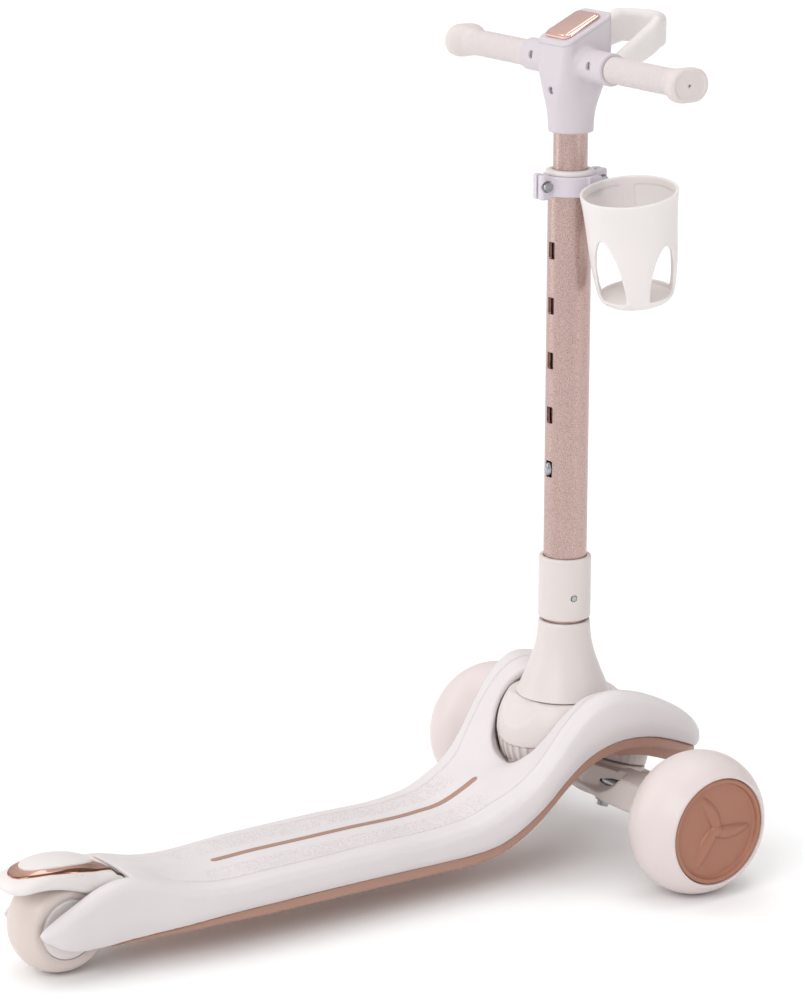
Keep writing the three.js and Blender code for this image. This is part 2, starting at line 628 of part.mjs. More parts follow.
function outerTube() {
  const tube = ring(OUTER_TUBE.inner, OUTER_TUBE.r, OUTER_TUBE.bottom, OUTER_TUBE.top, 'z', [0, 0, 0], 28);
  const slots = Array.from({ length: SLOT.count }, (_, i) => {
    const z = SLOT.lowest + i * SLOT.pitch;
    return boxBetween([-SLOT.width / 2, -25, z - SLOT.height / 2], [SLOT.width / 2, -8, z + SLOT.height / 2]);
  });
  return cut(tube, ...slots);
}

function towards(deg, body, z) {
  const turn = new THREE.Matrix4().makeTranslation(0, 0, z)
    .multiply(new THREE.Matrix4().makeRotationZ(THREE.MathUtils.degToRad(deg)));
  return moved(body, turn);
}

const COLLAR = { r: 22, low: 206, high: 259, screwDeg: -14.5, screwZ: 226 };

function stemCollar() {
  const sleeve = turned([
    [18.3, COLLAR.low], [21.2, COLLAR.low], [COLLAR.r, COLLAR.low + 1.2], [COLLAR.r, COLLAR.high - 1.5],
    [20.8, COLLAR.high], [18.3, COLLAR.high], [18.3, COLLAR.low],
  ], 'z', [0, 0, 0], 28);
  return cut(sleeve, towards(COLLAR.screwDeg, rod(2.6, 18, 24, 'x', [0, 0, 0], 12), COLLAR.screwZ));
}

add('stem_ball', 'cream', stemBall());
add('fold_pedal', 'cream', foldPedal());
add('stem_cone', 'cream', stemCone());
add('stem_collar', 'white', stemCollar());
const collarScrew = rod(2.3, 18.3, 21.4, 'x', [0, 0, 0], 12);
add('collar_screw', 'steel', towards(COLLAR.screwDeg, collarScrew, COLLAR.screwZ));
add('outer_tube', 'rose', outerTube());

// ---------------------------------------------------------------- clamp and cup holder
const CLAMP = {
  low: 563, high: 579.5, inner: 18.3, outer: 22.3, lugY: 28, lugTip: 34, screwR: 2.2, screwZ: 572, split: 1.2,
};

function clampBush() {
  return turned([
    [14.45, 545], [14.95, 545], [14.95, 574.3], [17.8, 574.3], [17.8, 579.8], [20.3, 579.8], [20, 583],
    [14.45, 584], [14.45, 545],
  ], 'z', [0, 0, 0], 28);
}

// Upright axis of the cup: it leans out from the stem and back towards the rider.
const cupFrame = new THREE.Matrix4().makeTranslation(CUP.x, CUP.y, CUP.topZ)
  .multiply(new THREE.Matrix4().makeRotationFromQuaternion(new THREE.Quaternion().setFromUnitVectors(
    new THREE.Vector3(0, 0, 1), new THREE.Vector3(CUP.leanX, CUP.leanY, 1).normalize(),
  )))
  .multiply(new THREE.Matrix4().makeTranslation(0, 0, -CUP.height));

function cupOutside(grow) {
  const wallAt = [[27, 0], [29.5, 3], [31.8, 10], [33.5, 20], [35.6, 40], [36.8, 60], [38.3, 80]];
  return [...wallAt, [CUP.rimR, CUP.height]].map(([r, z]) => [r + grow, z]);
}

function clampHalf(side) {
  const { low, high, inner, outer, lugTip, screwZ, split } = CLAMP;
  const xs = (from, to) => (side > 0 ? [from, to] : [-to, -from]);
  const [near, far] = xs(split, 40);
  const band = ring(inner, outer, low, high, 'z', [0, 0, 0], 28)
    .intersect(boxBetween([near, -40, 500], [far, 40, 620]));
  const lugs = [-1, 1].map((end) => {
    const outline = [
      [end * 20.5, low], [end * 30, low - 1], [end * lugTip, low + 4], [end * lugTip, high - 3],
      [end * 30, high + 2], [end * 20.5, high],
    ];
    return slab(end > 0 ? outline : [...outline].reverse(), ...xs(split, 7));
  });
  const screwHoles = [-1, 1].map((end) => (
    rod(CLAMP.screwR + GAP, -10, 10, 'x', [0, end * CLAMP.lugY, screwZ], 12)
  ));
  const bore = rod(inner, 540, 600, 'z', [0, 0, 0], 28);
  const cupSpace = turned([[0, -2], ...cupOutside(GAP), [0, CUP.height + 6]], 'z', [0, 0, 0], 32);
  const clear = moved(cupSpace, cupFrame);
  const tongue = side > 0 ? [boxBetween([19.2, 2, low + 1], [27, 15, high - 1])] : [];
  return cut(join(band, ...lugs, ...tongue), bore, clear, ...screwHoles);
}

function clampScrew(end) {
  const at = [0, end * CLAMP.lugY, CLAMP.screwZ];
  return join(rod(CLAMP.screwR, -9, 7.6, 'x', at, 12), rod(4, 7 + GAP, 9.8, 'x', at, 12));
}

function cupHolder() {
  const outside = cupOutside(0);
  const inside = outside.slice(2).reverse().map(([r, z]) => [r - CUP.wall, z]);
  const shell = turned([[0, 0], ...outside, ...inside, [28, 3], [0, 3]], 'z', [0, 0, 0], 32);
  const arch = new THREE.Shape();
  arch.moveTo(-15.5, 7);
  arch.lineTo(15.5, 7);
  arch.quadraticCurveTo(14.5, 34, 3, 47);
  arch.quadraticCurveTo(0, 50, -3, 47);
  arch.quadraticCurveTo(-14.5, 34, -15.5, 7);
  const window = new THREE.ExtrudeGeometry(arch, { depth: 40, bevelEnabled: false, curveSegments: 4 });
  window.rotateX(Math.PI / 2);
  window.translate(0, -8, 0);
  const windows = [11, 101, 191, 281].map((deg) => {
    const turn = new THREE.Matrix4().makeRotationZ(THREE.MathUtils.degToRad(deg));
    return moved(solid(window), turn);
  });
  const rib = moved(boxBetween([34, -4.5, 56], [37, 4.5, 88]),
    new THREE.Matrix4().makeRotationZ(THREE.MathUtils.degToRad(146)));
  return moved(join(cut(shell, ...windows), rib), cupFrame);
}

add('clamp_bush', 'cream', clampBush());
add('clamp_right', 'lavender', clampHalf(1));
add('clamp_left', 'lavender', clampHalf(-1));
add('clamp_screw_rear', 'steel', clampScrew(-1));
add('clamp_screw_front', 'steel', clampScrew(1));
add('cup_holder', 'white', cupHolder());

// ---------------------------------------------------------------- height-adjustable upper stem
function innerTube() {
  const tube = ring(INNER_TUBE.inner, INNER_TUBE.r, INNER_TUBE.bottom, INNER_TUBE.top, 'z', [0, 0, 0], 28);
  const z = SLOT.lowest;
  return cut(tube, boxBetween([-3.8, -20, z - 6.4], [3.8, -5, z + 6.4]));
}

function snapButton() {
  const { halfWidth, halfHeight, tipY, rootY } = BUTTON;
  const z = SLOT.lowest;
  return slab([
    [tipY, z - 3], [tipY + 2.5, z - halfHeight], [rootY, z - halfHeight],
    [rootY, z + halfHeight], [tipY + 2.5, z + halfHeight], [tipY, z + 3],
  ], -halfWidth, halfWidth);
}

const PLATE_SLOPE = THREE.MathUtils.degToRad(25);
const plateTopZ = (y) => 698.5 + (y - 1) * Math.tan(PLATE_SLOPE);

function headBody() {
  return loft([
    roundedRect(18.3, 18.3, 18, 614), roundedRect(19, 19, 18, 630), roundedRect(21, 21, 17.5, 645),
    roundedRect(22.4, 23.4, 16, 658, 1.5), roundedRect(22.6, 24, 12, 676, 2.5),
    roundedRect(21.6, 23.3, 7, plateTopZ, 3),
  ]);
}

const BAR_AT = [0, 0, BAR.z];

function tHead() {
  const arms = rod(BAR.armR, -BAR.armEnd, BAR.armEnd, 'x', BAR_AT, 24);
  const socket = rod(INNER_TUBE.r + GAP, 600, INNER_TUBE.top + GAP, 'z', [0, 0, 0], 28);
  const barHole = rod(BAR.tubeR + GAP, -60, 60, 'x', BAR_AT, 20);
  const armScrews = [-1, 1].map((side) => rod(2.8, -16, -5, 'y', [side * 38.7, 0, 672], 12));
  const neckScrew = rod(3.4, -26, -13, 'y', [0, 0, 648.5], 12);
  return cut(join(headBody(), arms), socket, barHole, ...armScrews, neckScrew);
}

function headPlate() {
  const shape = new THREE.Shape();
  const [w, l, r] = [14.6, 18.6, 5];
  shape.moveTo(-w + r, -l);
  shape.lineTo(w - r, -l);
  shape.quadraticCurveTo(w, -l, w, -l + r);
  shape.lineTo(w, l - r);
  shape.quadraticCurveTo(w, l, w - r, l);
  shape.lineTo(-w + r, l);
  shape.quadraticCurveTo(-w, l, -w, l - r);
  shape.lineTo(-w, -l + r);
  shape.quadraticCurveTo(-w, -l, -w + r, -l);
  const geometry = new THREE.ExtrudeGeometry(shape, {
    depth: 1.8, bevelThickness: 1.2, bevelSize: 1.2, bevelSegments: 2, curveSegments: 4,
  });
  geometry.translate(0, 0, 1.2 + GAP);
  geometry.rotateX(PLATE_SLOPE);
  geometry.translate(0, 1, plateTopZ(1));
  return solid(geometry);
}

const LOOP = { pathX: 28.9, centreY: 52, band: 11, corner: 2.5 };

function loopTop(y) {
  return Math.min(705.5, Math.max(674, 678.5 + (y - 24) * 0.667));
}

function loopBottom(y) {
  return Math.min(678.5, 660 + (y - 10) * 0.25 + Math.max(0, y - 47) * 0.2);
}

// The band runs forward from one arm, round a half circle and back to the other.
function ringHandle() {
  const { pathX, centreY, band, corner } = LOOP;
  const straight = [6, 18, 26, 38, 45].map((y) => [1, 0, y]);
  const arc = Array.from({ length: 13 }, (_, i) => {
    const angle = (Math.PI * i) / 12;
    return [Math.cos(angle), Math.sin(angle), centreY + pathX * Math.sin(angle)];
  });
  const back = straight.map(([, , y]) => [-1, 0, y]).reverse();
  const rings = [...straight, ...arc, ...back].map(([outX, outY, y]) => {
    const [low, high] = [loopBottom(y), loopTop(y)];
    const centre = outY === 0 ? [outX * pathX, y] : [outX * pathX, centreY + pathX * outY];
    const half = band / 2;
    return [
      [half, low + corner], [half, high - corner], [half - corner, high], [corner - half, high],
      [-half, high - corner], [-half, low + corner], [corner - half, low], [half - corner, low],
    ].map(([out, z]) => [centre[0] + outX * out, centre[1] + outY * out, z]);
  });
  const arms = rod(BAR.armR + GAP, -60, 60, 'x', BAR_AT, 24);
  const behind = boxBetween([-60, -20, 600], [60, 8, 760]);
  return cut(loft(rings), arms, behind);
}

function grip(side) {
  const sleeve = rod(BAR.gripR, BAR.armEnd + GAP, 141, 'x', BAR_AT, 24);
  const flange = loft([
    [130, 10.8, 10.8, 10.7], [136, 13, 11.4, 11], [141, 16.5, 12.4, 12], [144.5, 18.4, 13.4, 13],
    [151, 18.4, 13.4, 13], [BAR.end, 16.8, 12, 11.5],
  ].map(([x, halfY, halfZ, radius]) => (
    roundedRect(halfY, halfZ, radius, 0).map(([y, z]) => [x, y, BAR.z + z])
  )));
  const body = cut(join(sleeve, flange), rod(BAR.tubeR + GAP, 0, 147, 'x', BAR_AT, 20));
  return side > 0 ? body : body.mirror([1, 0, 0]);
}

add('inner_tube', 'rose', innerTube());
add('snap_button', 'steel', snapButton());
add('t_head', 'lavender', tHead());
add('head_plate', 'chromeRose', headPlate());
add('ring_handle', 'white', ringHandle());
add('crossbar', 'steel', rod(BAR.tubeR, -146, 146, 'x', BAR_AT, 20));
add('grip_right', 'white', grip(1));
add('grip_left', 'white', grip(-1));
add('head_screw', 'steel', rod(3, -18.6, -15, 'y', [0, 0, 648.5], 12));
add('arm_screw_right', 'steel', rod(2.4, -11, -8.4, 'y', [38.7, 0, 672], 12));
add('arm_screw_left', 'steel', rod(2.4, -11, -8.4, 'y', [-38.7, 0, 672], 12));

export default scooter;
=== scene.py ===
"""The looks of a three-wheeled children's kick scooter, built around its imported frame.

Shapes are worked out in millimetres from the stem's axis (+X the rider's right, +Y forward, +Z up, the ground
at Z = 0) and are turned into metres in the frame's own axes when a mesh is made. Moulded pieces are distance
fields turned into meshes, turned pieces are lathe meshes, and strips are lofts.
"""

import math

import bmesh
import bpy
import numpy as np
from mathutils import Matrix, Vector


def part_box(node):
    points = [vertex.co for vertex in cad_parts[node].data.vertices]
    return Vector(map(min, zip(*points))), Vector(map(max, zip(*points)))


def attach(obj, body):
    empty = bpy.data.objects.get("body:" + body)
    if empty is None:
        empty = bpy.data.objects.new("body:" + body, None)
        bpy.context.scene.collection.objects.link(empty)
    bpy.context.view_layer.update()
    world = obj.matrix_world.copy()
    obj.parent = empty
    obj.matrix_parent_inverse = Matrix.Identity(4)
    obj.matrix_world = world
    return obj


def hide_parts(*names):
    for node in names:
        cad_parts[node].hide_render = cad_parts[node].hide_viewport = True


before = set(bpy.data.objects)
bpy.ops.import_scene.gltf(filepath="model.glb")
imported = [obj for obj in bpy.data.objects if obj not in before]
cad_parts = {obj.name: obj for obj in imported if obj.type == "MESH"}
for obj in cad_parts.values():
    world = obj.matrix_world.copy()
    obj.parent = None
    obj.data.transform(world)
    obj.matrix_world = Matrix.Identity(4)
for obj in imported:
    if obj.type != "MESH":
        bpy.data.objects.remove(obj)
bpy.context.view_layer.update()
stood_for = set()        # the CAD nodes that a piece replaces

MM = 0.001
TUBE_LOW, TUBE_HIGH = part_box("outer_tube")
STEM_Y = (TUBE_LOW.y + TUBE_HIGH.y) / 2 / MM

# ---- measures, in millimetres
FRONT_AXLE = (31.3, 60.0)
FRONT_WHEEL_X = 143.3
REAR_AXLE = (-486.0, 40.0)
BALL_CENTRE = (0.0, 0.0, 108.0)
BALL_R = 55.5
POCKET_R = 57.0
GAP_Z = 140.0
FOLD_LIMIT, STEER_LIMIT = math.radians(78), math.radians(12)
KINGPIN_AT, KINGPIN_TILT = (55.7, 70.0), math.radians(16.6)
FORK_HALF, FORK_START = 27.5, -436.0
DECK_FRONT, DECK_REAR = 104.5, -517.5
BRAKE_PIN = (-443.5, 66.0)
OUTER_TUBE, INNER_TUBE = (15.2, 18), (12, 14)
SLOT_Z = [334.7 + 45.75 * i for i in range(5)]
BAR_Z = 670.0
ARM_R, ARM_END = 13.2, 55.0
GRIP_END = 153.5
CLAMP_LOW, CLAMP_HIGH = 563.0, 579.5
CLAMP_INNER, CLAMP_OUTER = 18.3, 22.3
CLAMP_SCREW = (28, 572)
SIDES = ((1, "right"), (-1, "left"))
PLATE_TILT = math.radians(25)
PLATE_TAN = math.tan(PLATE_TILT)
PLATE_Y, PLATE_Z = 1.0, 698.5


# ---- meshes
def mesh_piece(name, points, faces, look, body, replaced=(), slot=None, smooth_angle=35):
    """A piece from points in millimetres, riding on a body and standing for CAD nodes."""
    mesh = bpy.data.meshes.new(name)
    mesh.from_pydata(to_frame(points), [], [tuple(int(i) for i in f) for f in faces])
    mesh.validate()
    face_outward(mesh)
    mesh.materials.append(look)
    piece = add_object(name, mesh)
    mesh.shade_smooth()
    mesh.set_sharp_from_angle(angle=math.radians(smooth_angle))
    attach(piece, body)
    if replaced:
        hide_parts(*replaced)
        stood_for.update(replaced)
    return piece


def to_frame(points):
    """Points in millimetres from the stem's axis, in metres in the frame's axes."""
    return ((np.asarray(points, float) + (0, STEM_Y, 0)) * MM).tolist()


def add_object(name, data):
    thing = bpy.data.objects.new(name, data)
    bpy.context.scene.collection.objects.link(thing)
    return thing


def face_outward(mesh):
    shape = bmesh.new()
    shape.from_mesh(mesh)
    bmesh.ops.recalc_face_normals(shape, faces=shape.faces)
    shape.to_mesh(mesh)
    shape.free()


def lathe(profile, axis, at, steps=96):
    """Points and faces of a closed turned shape. The profile is [distance along the axis, radius] pairs."""
    profile = [(s, max(r, 0.0)) for s, r in profile]
    angles = [2 * math.pi * i / steps for i in range(steps)]
    points = []
    for s, r in profile:
        for a in angles:
            across, up = r * math.cos(a), r * math.sin(a)
            local = {"x": (s, across, up), "y": (up, s, across), "z": (across, up, s)}[axis]
            points.append([p + q for p, q in zip(local, at)])
    faces = []
    count = len(profile)
    closed = profile[0][1] > 1e-6
    for i in range(count if closed else count - 1):
        j = (i + 1) % count
        for k in range(steps):
            n = (k + 1) % steps
            faces.append((i * steps + k, j * steps + k, j * steps + n, i * steps + n))
    return weld(points, faces)


def weld(points, faces):
    """Merges points that lie together, which closes a turned shape at its axis, and drops folded faces."""
    places = np.round(np.asarray(points, float), 5)
    unique, index = np.unique(places, axis=0, return_inverse=True)
    index = index.reshape(-1)
    kept = []
    for face in faces:
        corners = []
        for c in face:
            v = int(index[c])
            if v not in corners:
                corners.append(v)
        if len(corners) > 2:
            kept.append(corners)
    return unique, kept


def turned_piece(name, profile, axis, at, steps, *rest):
    return mesh_piece(name, *lathe(profile, axis, at, steps), *rest)


def loft(rings):
    """Points and faces of a closed skin through rings of equally many points."""
    count = len(rings[0])
    points = [p for ring in rings for p in ring]
    faces = []
    for i in range(len(rings) - 1):
        for k in range(count):
            n = (k + 1) % count
            faces.append((i * count + k, i * count + n, (i + 1) * count + n, (i + 1) * count + k))
    faces.append(tuple(range(count))[::-1])
    faces.append(tuple(range((len(rings) - 1) * count, len(rings) * count)))
    return points, faces


def round_outline(half_x, half_y, r, steps):
    """Points round an oblong with round corners."""
    outline = []
    for sx, sy, start in ((1, 1, 0), (-1, 1, 90), (-1, -1, 180), (1, -1, 270)):
        for i in range(steps + 1):
            a = math.radians(start + 90 * i / steps)
            outline.append((sx * (half_x - r) + r * math.cos(a), sy * (half_y - r) + r * math.sin(a)))
    return outline


def rounded(profile, radius, steps=4):
    """A profile with its inner corners rounded off. Each corner may carry its own radius as a third value."""
    out = [profile[0][:2]]
    for before, corner, after in zip(profile, profile[1:], profile[2:]):
        r = corner[2] if len(corner) > 2 else radius
        p, a, b = (np.array(v[:2], float) for v in (corner, before, after))
        la, lb = np.linalg.norm(a - p), np.linalg.norm(b - p)
        reach = min(r, 0.45 * la, 0.45 * lb)
        if reach < 0.02:
            out.append(tuple(p))
            continue
        start, end = p + (a - p) / la * reach, p + (b - p) / lb * reach
        for i in range(steps + 1):
            t = i / steps
            out.append(tuple((1 - t) ** 2 * start + 2 * t * (1 - t) * p + t * t * end))
    out.append(profile[-1][:2])
    return out


# ---- distance fields
def smooth_curve(points):
    """A smooth line through (place, value) pairs, as a function."""
    xs, vs = np.array(points, float).T
    slopes = np.gradient(vs, xs)

    def at(x):
        x = np.clip(x, xs[0], xs[-1])
        i = np.clip(np.searchsorted(xs, x) - 1, 0, len(xs) - 2)
        h = xs[i + 1] - xs[i]
        t = (x - xs[i]) / h
        return (
            (2 * t**3 - 3 * t**2 + 1) * vs[i]
            + (t**3 - 2 * t**2 + t) * h * slopes[i]
            + (3 * t**2 - 2 * t**3) * vs[i + 1]
            + (t**3 - t**2) * h * slopes[i + 1]
        )

    return at


def ease(t):
    t = np.clip(t, 0, 1)
    return t * t * (3 - 2 * t)


def meet(a, b, r=0.0):
    """What two fields share, its edge rounded to radius r."""
    if np.ndim(r) == 0 and r <= 0:
        return np.maximum(a, b)
    return np.minimum(-r, np.maximum(a, b)) + np.hypot(np.maximum(a + r, 0), np.maximum(b + r, 0))


def unite(a, b, r=0.0):
    """Two fields joined, with a fillet of radius r."""
    return -meet(-a, -b, r)


def remove(a, b, r=0.0):
    return meet(a, -b, r)


def ball(x, y, z, centre, radius):
    return np.sqrt((x - centre[0]) ** 2 + (y - centre[1]) ** 2 + (z - centre[2]) ** 2) - radius


def round_box(dx, dy, corner):
    """Distance outside an oblong with round corners, from the distances past its corners' centres."""
    return np.hypot(np.maximum(dx, 0), np.maximum(dy, 0)) + np.minimum(np.maximum(dx, dy), 0) - corner


def surface_of(field, low, high, cell):
    """The closed surface where a field is zero: one point for each cell it crosses, drawn onto the surface."""
    low, high = np.array(low, float), np.array(high, float)
    axes = [np.arange(a, b + cell, cell) for a, b in zip(low, high)]
    x, y, z = np.meshgrid(*axes, indexing="ij", sparse=True)
    values = np.broadcast_to(field(x, y, z), [len(a) for a in axes]).astype(np.float32)
    inside = values < 0
    shape = np.array(inside.shape)
    corners = [(i, j, k) for i in (0, 1) for j in (0, 1) for k in (0, 1)]
    part = [inside[i:shape[0] - 1 + i, j:shape[1] - 1 + j, k:shape[2] - 1 + k] for i, j, k in corners]
    count = sum(p.astype(np.int8) for p in part)
    cells = np.argwhere((count > 0) & (count < 8))
    number = np.full(shape - 1, -1, np.int64)
    number[tuple(cells.T)] = np.arange(len(cells))
    total, weight = np.zeros((len(cells), 3)), np.zeros(len(cells))
    for a in corners:
        for d in range(3):
            if a[d]:
                continue
            b = tuple(a[i] + (i == d) for i in range(3))
            va = values[tuple((cells + a).T)]
            vb = values[tuple((cells + b).T)]
            crossed = (va < 0) != (vb < 0)
            t = np.where(crossed, va / np.where(crossed, va - vb, 1), 0)
            spot = np.array(a, float) + t[:, None] * np.eye(3)[d]
            total += crossed[:, None] * spot
            weight += crossed
    points = low + cell * (cells + total / weight[:, None])
    faces = []
    for d in range(3):
        u, v = (d + 1) % 3, (d + 2) % 3
        ahead, behind = [slice(None)] * 3, [slice(None)] * 3
        ahead[d], behind[d] = slice(1, None), slice(None, -1)
        here = inside[tuple(behind)]
        edges = np.argwhere(here != inside[tuple(ahead)])
        at_u, at_v = edges[:, u], edges[:, v]
        edges = edges[(at_u > 0) & (at_v > 0) & (at_u < shape[u] - 1) & (at_v < shape[v] - 1)]
        eu, ev = np.eye(3, dtype=int)[u], np.eye(3, dtype=int)[v]
        quad = np.stack([number[tuple((edges - s).T)] for s in (eu + ev, ev, 0 * eu, eu)], 1)
        outward = here[tuple(edges.T)]
        quad[~outward] = quad[~outward][:, ::-1]
        faces.append(quad)
    h = 0.05
    for _ in range(3):
        px, py, pz = points.T
        value = field(px, py, pz)
        slope = np.stack([
            field(px + h, py, pz) - field(px - h, py, pz),
            field(px, py + h, pz) - field(px, py - h, pz),
            field(px, py, pz + h) - field(px, py, pz - h),
        ], 1) / (2 * h)
        step = value[:, None] * slope / np.maximum((slope**2).sum(1), 0.2)[:, None]
        length = np.linalg.norm(step, axis=1, keepdims=True)
        points = points - step * np.minimum(1, 0.5 * cell / np.maximum(length, 1e-9))
    return points, np.concatenate(faces)


def field_piece(name, field, low, high, cell, look, body, replaced=(), slot=None, smooth_angle=50):
    mesh = surface_of(field, low, high, cell * (1))
    return mesh_piece(name, *mesh, look, body, replaced, slot, smooth_angle)


# ---- materials
class Nodes:
    """A small helper that adds shader nodes to one material and links them."""

    def __init__(self, name):
        self.material = bpy.data.materials.new(name)
        self.material.use_nodes = True
        self.tree = self.material.node_tree
        self.shader = self.tree.nodes["Principled BSDF"]
        self.place = self.tree.nodes.new("ShaderNodeTexCoord").outputs["Object"]

    def add(self, kind, inputs=None, **settings):
        node = self.tree.nodes.new(kind)
        for key, value in settings.items():
            setattr(node, key, value)
        for key, value in (inputs or {}).items():
            self.feed(node.inputs[key], value)
        return node

    def feed(self, socket, value):
        if isinstance(value, bpy.types.NodeSocket):
            self.tree.links.new(value, socket)
        else:
            socket.default_value = value

    def set(self, name, value):
        self.feed(self.shader.inputs[name], value)

    def source(self, name):
        return self.shader.inputs[name].links[0].from_socket

    def math(self, operation, *values):
        node = self.add("ShaderNodeMath", operation=operation)
        for i, value in enumerate(values):
            self.feed(node.inputs[i], value)
        return node.outputs[0]

    def times(self, a, b):
        return self.math("MULTIPLY", a, b)

    def less(self, a, b):
        return self.math("SUBTRACT", a, b)

    def noise(self, scale, detail=2.0, rough=0.5):
        grain = {"Vector": self.place, "Scale": scale, "Detail": detail, "Roughness": rough}
        return self.add("ShaderNodeTexNoise", grain).outputs["Fac"]

    def axes(self):
        return self.add("ShaderNodeSeparateXYZ", {"Vector": self.place}).outputs

    def ramp(self, value, low, high, to_low=0.0, to_high=1.0):
        limits = {"From Min": low, "From Max": high, "To Min": to_low, "To Max": to_high}
        return self.add("ShaderNodeMapRange", {"Value": value, **limits}).outputs["Result"]

    def mix(self, factor, a, b):
        node = self.add("ShaderNodeMix", data_type="RGBA")
        self.feed(node.inputs["Factor"], factor)
        self.feed(node.inputs["A"], a)
        self.feed(node.inputs["B"], b)
        return node.outputs["Result"]

    def bump(self, height, strength, distance, normal=None):
        node = self.add("ShaderNodeBump", {"Strength": strength, "Distance": distance, "Height": height})
        if normal is not None:
            self.tree.links.new(normal, node.inputs["Normal"])
        return node.outputs["Normal"]


def linear(hex_colour):
    """A hexadecimal sRGB colour as linear RGBA."""
    parts = [int(hex_colour[i:i + 2], 16) / 255 for i in (0, 2, 4)]
    return (*[p / 12.92 if p <= 0.04045 else ((p + 0.055) / 1.055) ** 2.4 for p in parts], 1.0)


def moulded(name, colour, roughness=0.42, grain=2600.0, grain_strength=0.05, drift=0.02):
    """Satin moulded plastic: a faint drift of tone, fine grain and uneven gloss."""
    n = Nodes(name)
    base = linear(colour)
    darker = tuple(c * (1 - 2 * drift) for c in base[:3]) + (1,)
    lighter = tuple(min(1.0, c * (1 + drift)) for c in base[:3]) + (1,)
    n.set("Base Color", n.mix(n.noise(22.0, 3), darker, lighter))
    n.set("Roughness", n.ramp(n.noise(90.0, 4), 0.3, 0.7, roughness - 0.05, roughness + 0.05))
    n.set("Normal", n.bump(n.noise(grain, 2), grain_strength, 0.0002))
    n.set("Specular IOR Level", 0.42)
    n.set("Subsurface Weight", 0.08)
    n.set("Subsurface Radius", (0.004, 0.003, 0.0025))
    return n


def deck_look():
    """White moulding with a band of fine raised grip grains on each side of the middle strip."""
    n = moulded("deck_white", "DCD5D6", 0.38)
    x, y, z = n.axes()[:3]
    forward = n.less(y, STEM_Y * MM)
    side = n.math("ABSOLUTE", x)
    inner = n.ramp(side, 0.0145, 0.0165)
    outer = n.ramp(side, 0.0385, 0.0395, 1.0, 0.0)
    front = n.ramp(forward, -0.106, -0.092, 1.0, 0.0)
    rear = n.ramp(forward, -0.372, -0.364)
    up = n.ramp(z, 0.0585, 0.0600)
    zone = inner
    for other in (outer, front, rear, up):
        zone = n.times(zone, other)
    cells = n.add("ShaderNodeTexVoronoi", {"Vector": n.place, "Scale": 420.0, "Randomness": 0.75}, feature="F1")
    grains = n.times(n.ramp(cells.outputs["Distance"], 0.15, 0.55, 1.0, 0.0), zone)
    edge = n.add("ShaderNodeFloatCurve", {"Value": n.ramp(forward, -0.42, 0.06)})
    curve = edge.mapping.curves[0]
    panel = [(0.0, 0.012), (0.03, 0.024), (0.08, 0.034), (0.17, 0.0395), (0.64, 0.0395), (0.70, 0.044),
             (0.76, 0.053), (0.84, 0.057), (1.0, 0.056)]
    curve.points[0].location, curve.points[1].location = (panel[0][0], panel[0][1] * 10), (1.0, panel[-1][1] * 10)
    for where, value in panel[1:-1]:
        curve.points.new(where, value * 10)
    edge.mapping.update()
    from_line = n.less(side, n.times(edge.outputs["Value"], 0.1))
    line = n.times(n.ramp(n.math("ABSOLUTE", from_line), 0.0003, 0.0009, 1.0, 0.0),
                  n.ramp(forward, 0.03, 0.05, 1.0, 0.0))
    line = n.times(line, n.ramp(forward, -0.42, -0.41))
    fine = n.source("Normal")
    height = n.less(grains, n.times(line, 1.5))
    n.set("Normal", n.bump(height, 0.55, 0.0006, fine))
    plain = n.source("Base Color")
    toned = n.mix(n.times(grains, 0.5), plain, linear("D0C2BD"))
    n.set("Base Color", n.mix(n.times(line, 0.4), toned, linear("CDBFC0")))
    return n.material


def grip_look():
    """White rubber with slanting ribs that run round the sleeve, and painted shade darkening the gaps between the
    ribs.
    """
    n = moulded("grip_white", "D8CECC", 0.5)
    x, y, z = n.axes()[:3]
    around = n.math("ARCTAN2", n.less(z, BAR_Z * MM), n.less(y, STEM_Y * MM))
    side = n.math("ABSOLUTE", x)
    slant = n.math("ADD", n.times(side, 2 * math.pi / 0.0026), n.times(around, 26.0))
    wave = n.math("SINE", slant)
    sleeve = n.times(n.ramp(side, 0.058, 0.060), n.ramp(side, 0.129, 0.132, 1.0, 0.0))
    height = n.times(n.ramp(wave, -0.6, 0.9), sleeve)
    fine = n.source("Normal")
    n.set("Normal", n.bump(height, 0.55, 0.0005, fine))
    plain = n.source("Base Color")
    # painted shade: darkens the rubber in the low gaps between the ribs
    painted_rib_shade = n.times(n.less(1.0, height), n.times(sleeve, 0.5))
    n.set("Base Color", n.mix(painted_rib_shade, plain, linear("D2C9CB")))
    return n.material


def copper_look(name, colour):
    n = moulded(name, colour, 0.42, grain=1800.0, grain_strength=0.12, drift=0.04)
    n.set("Metallic", 0.2)
    n.set("Subsurface Weight", 0.0)
    return n.material


def tube_look():
    """Rose-gold metallic paint with flake."""
    n = Nodes("rose_tube")
    flake = n.noise(1500.0, 4, 0.7)
    n.set("Base Color", n.mix(n.ramp(flake, 0.34, 0.68), linear("9A7D77"), linear("DCC4BD")))
    n.set("Roughness", n.ramp(n.noise(500.0, 3), 0.3, 0.7, 0.27, 0.38))
    n.set("Normal", n.bump(n.noise(1500.0, 3), 0.35, 0.0003))
    n.set("Metallic", 0.95)
    return n.material


def chrome_look(name, colour, roughness):
    n = Nodes(name)
    warm = tuple(c * 0.93 for c in linear(colour)[:3]) + (1,)
    n.set("Base Color", n.mix(n.noise(40.0, 2), linear(colour), warm))
    n.set("Roughness", n.ramp(n.noise(120.0, 3), 0.3, 0.7, roughness * 0.7, roughness * 1.3))
    n.set("Metallic", 1.0)
    return n


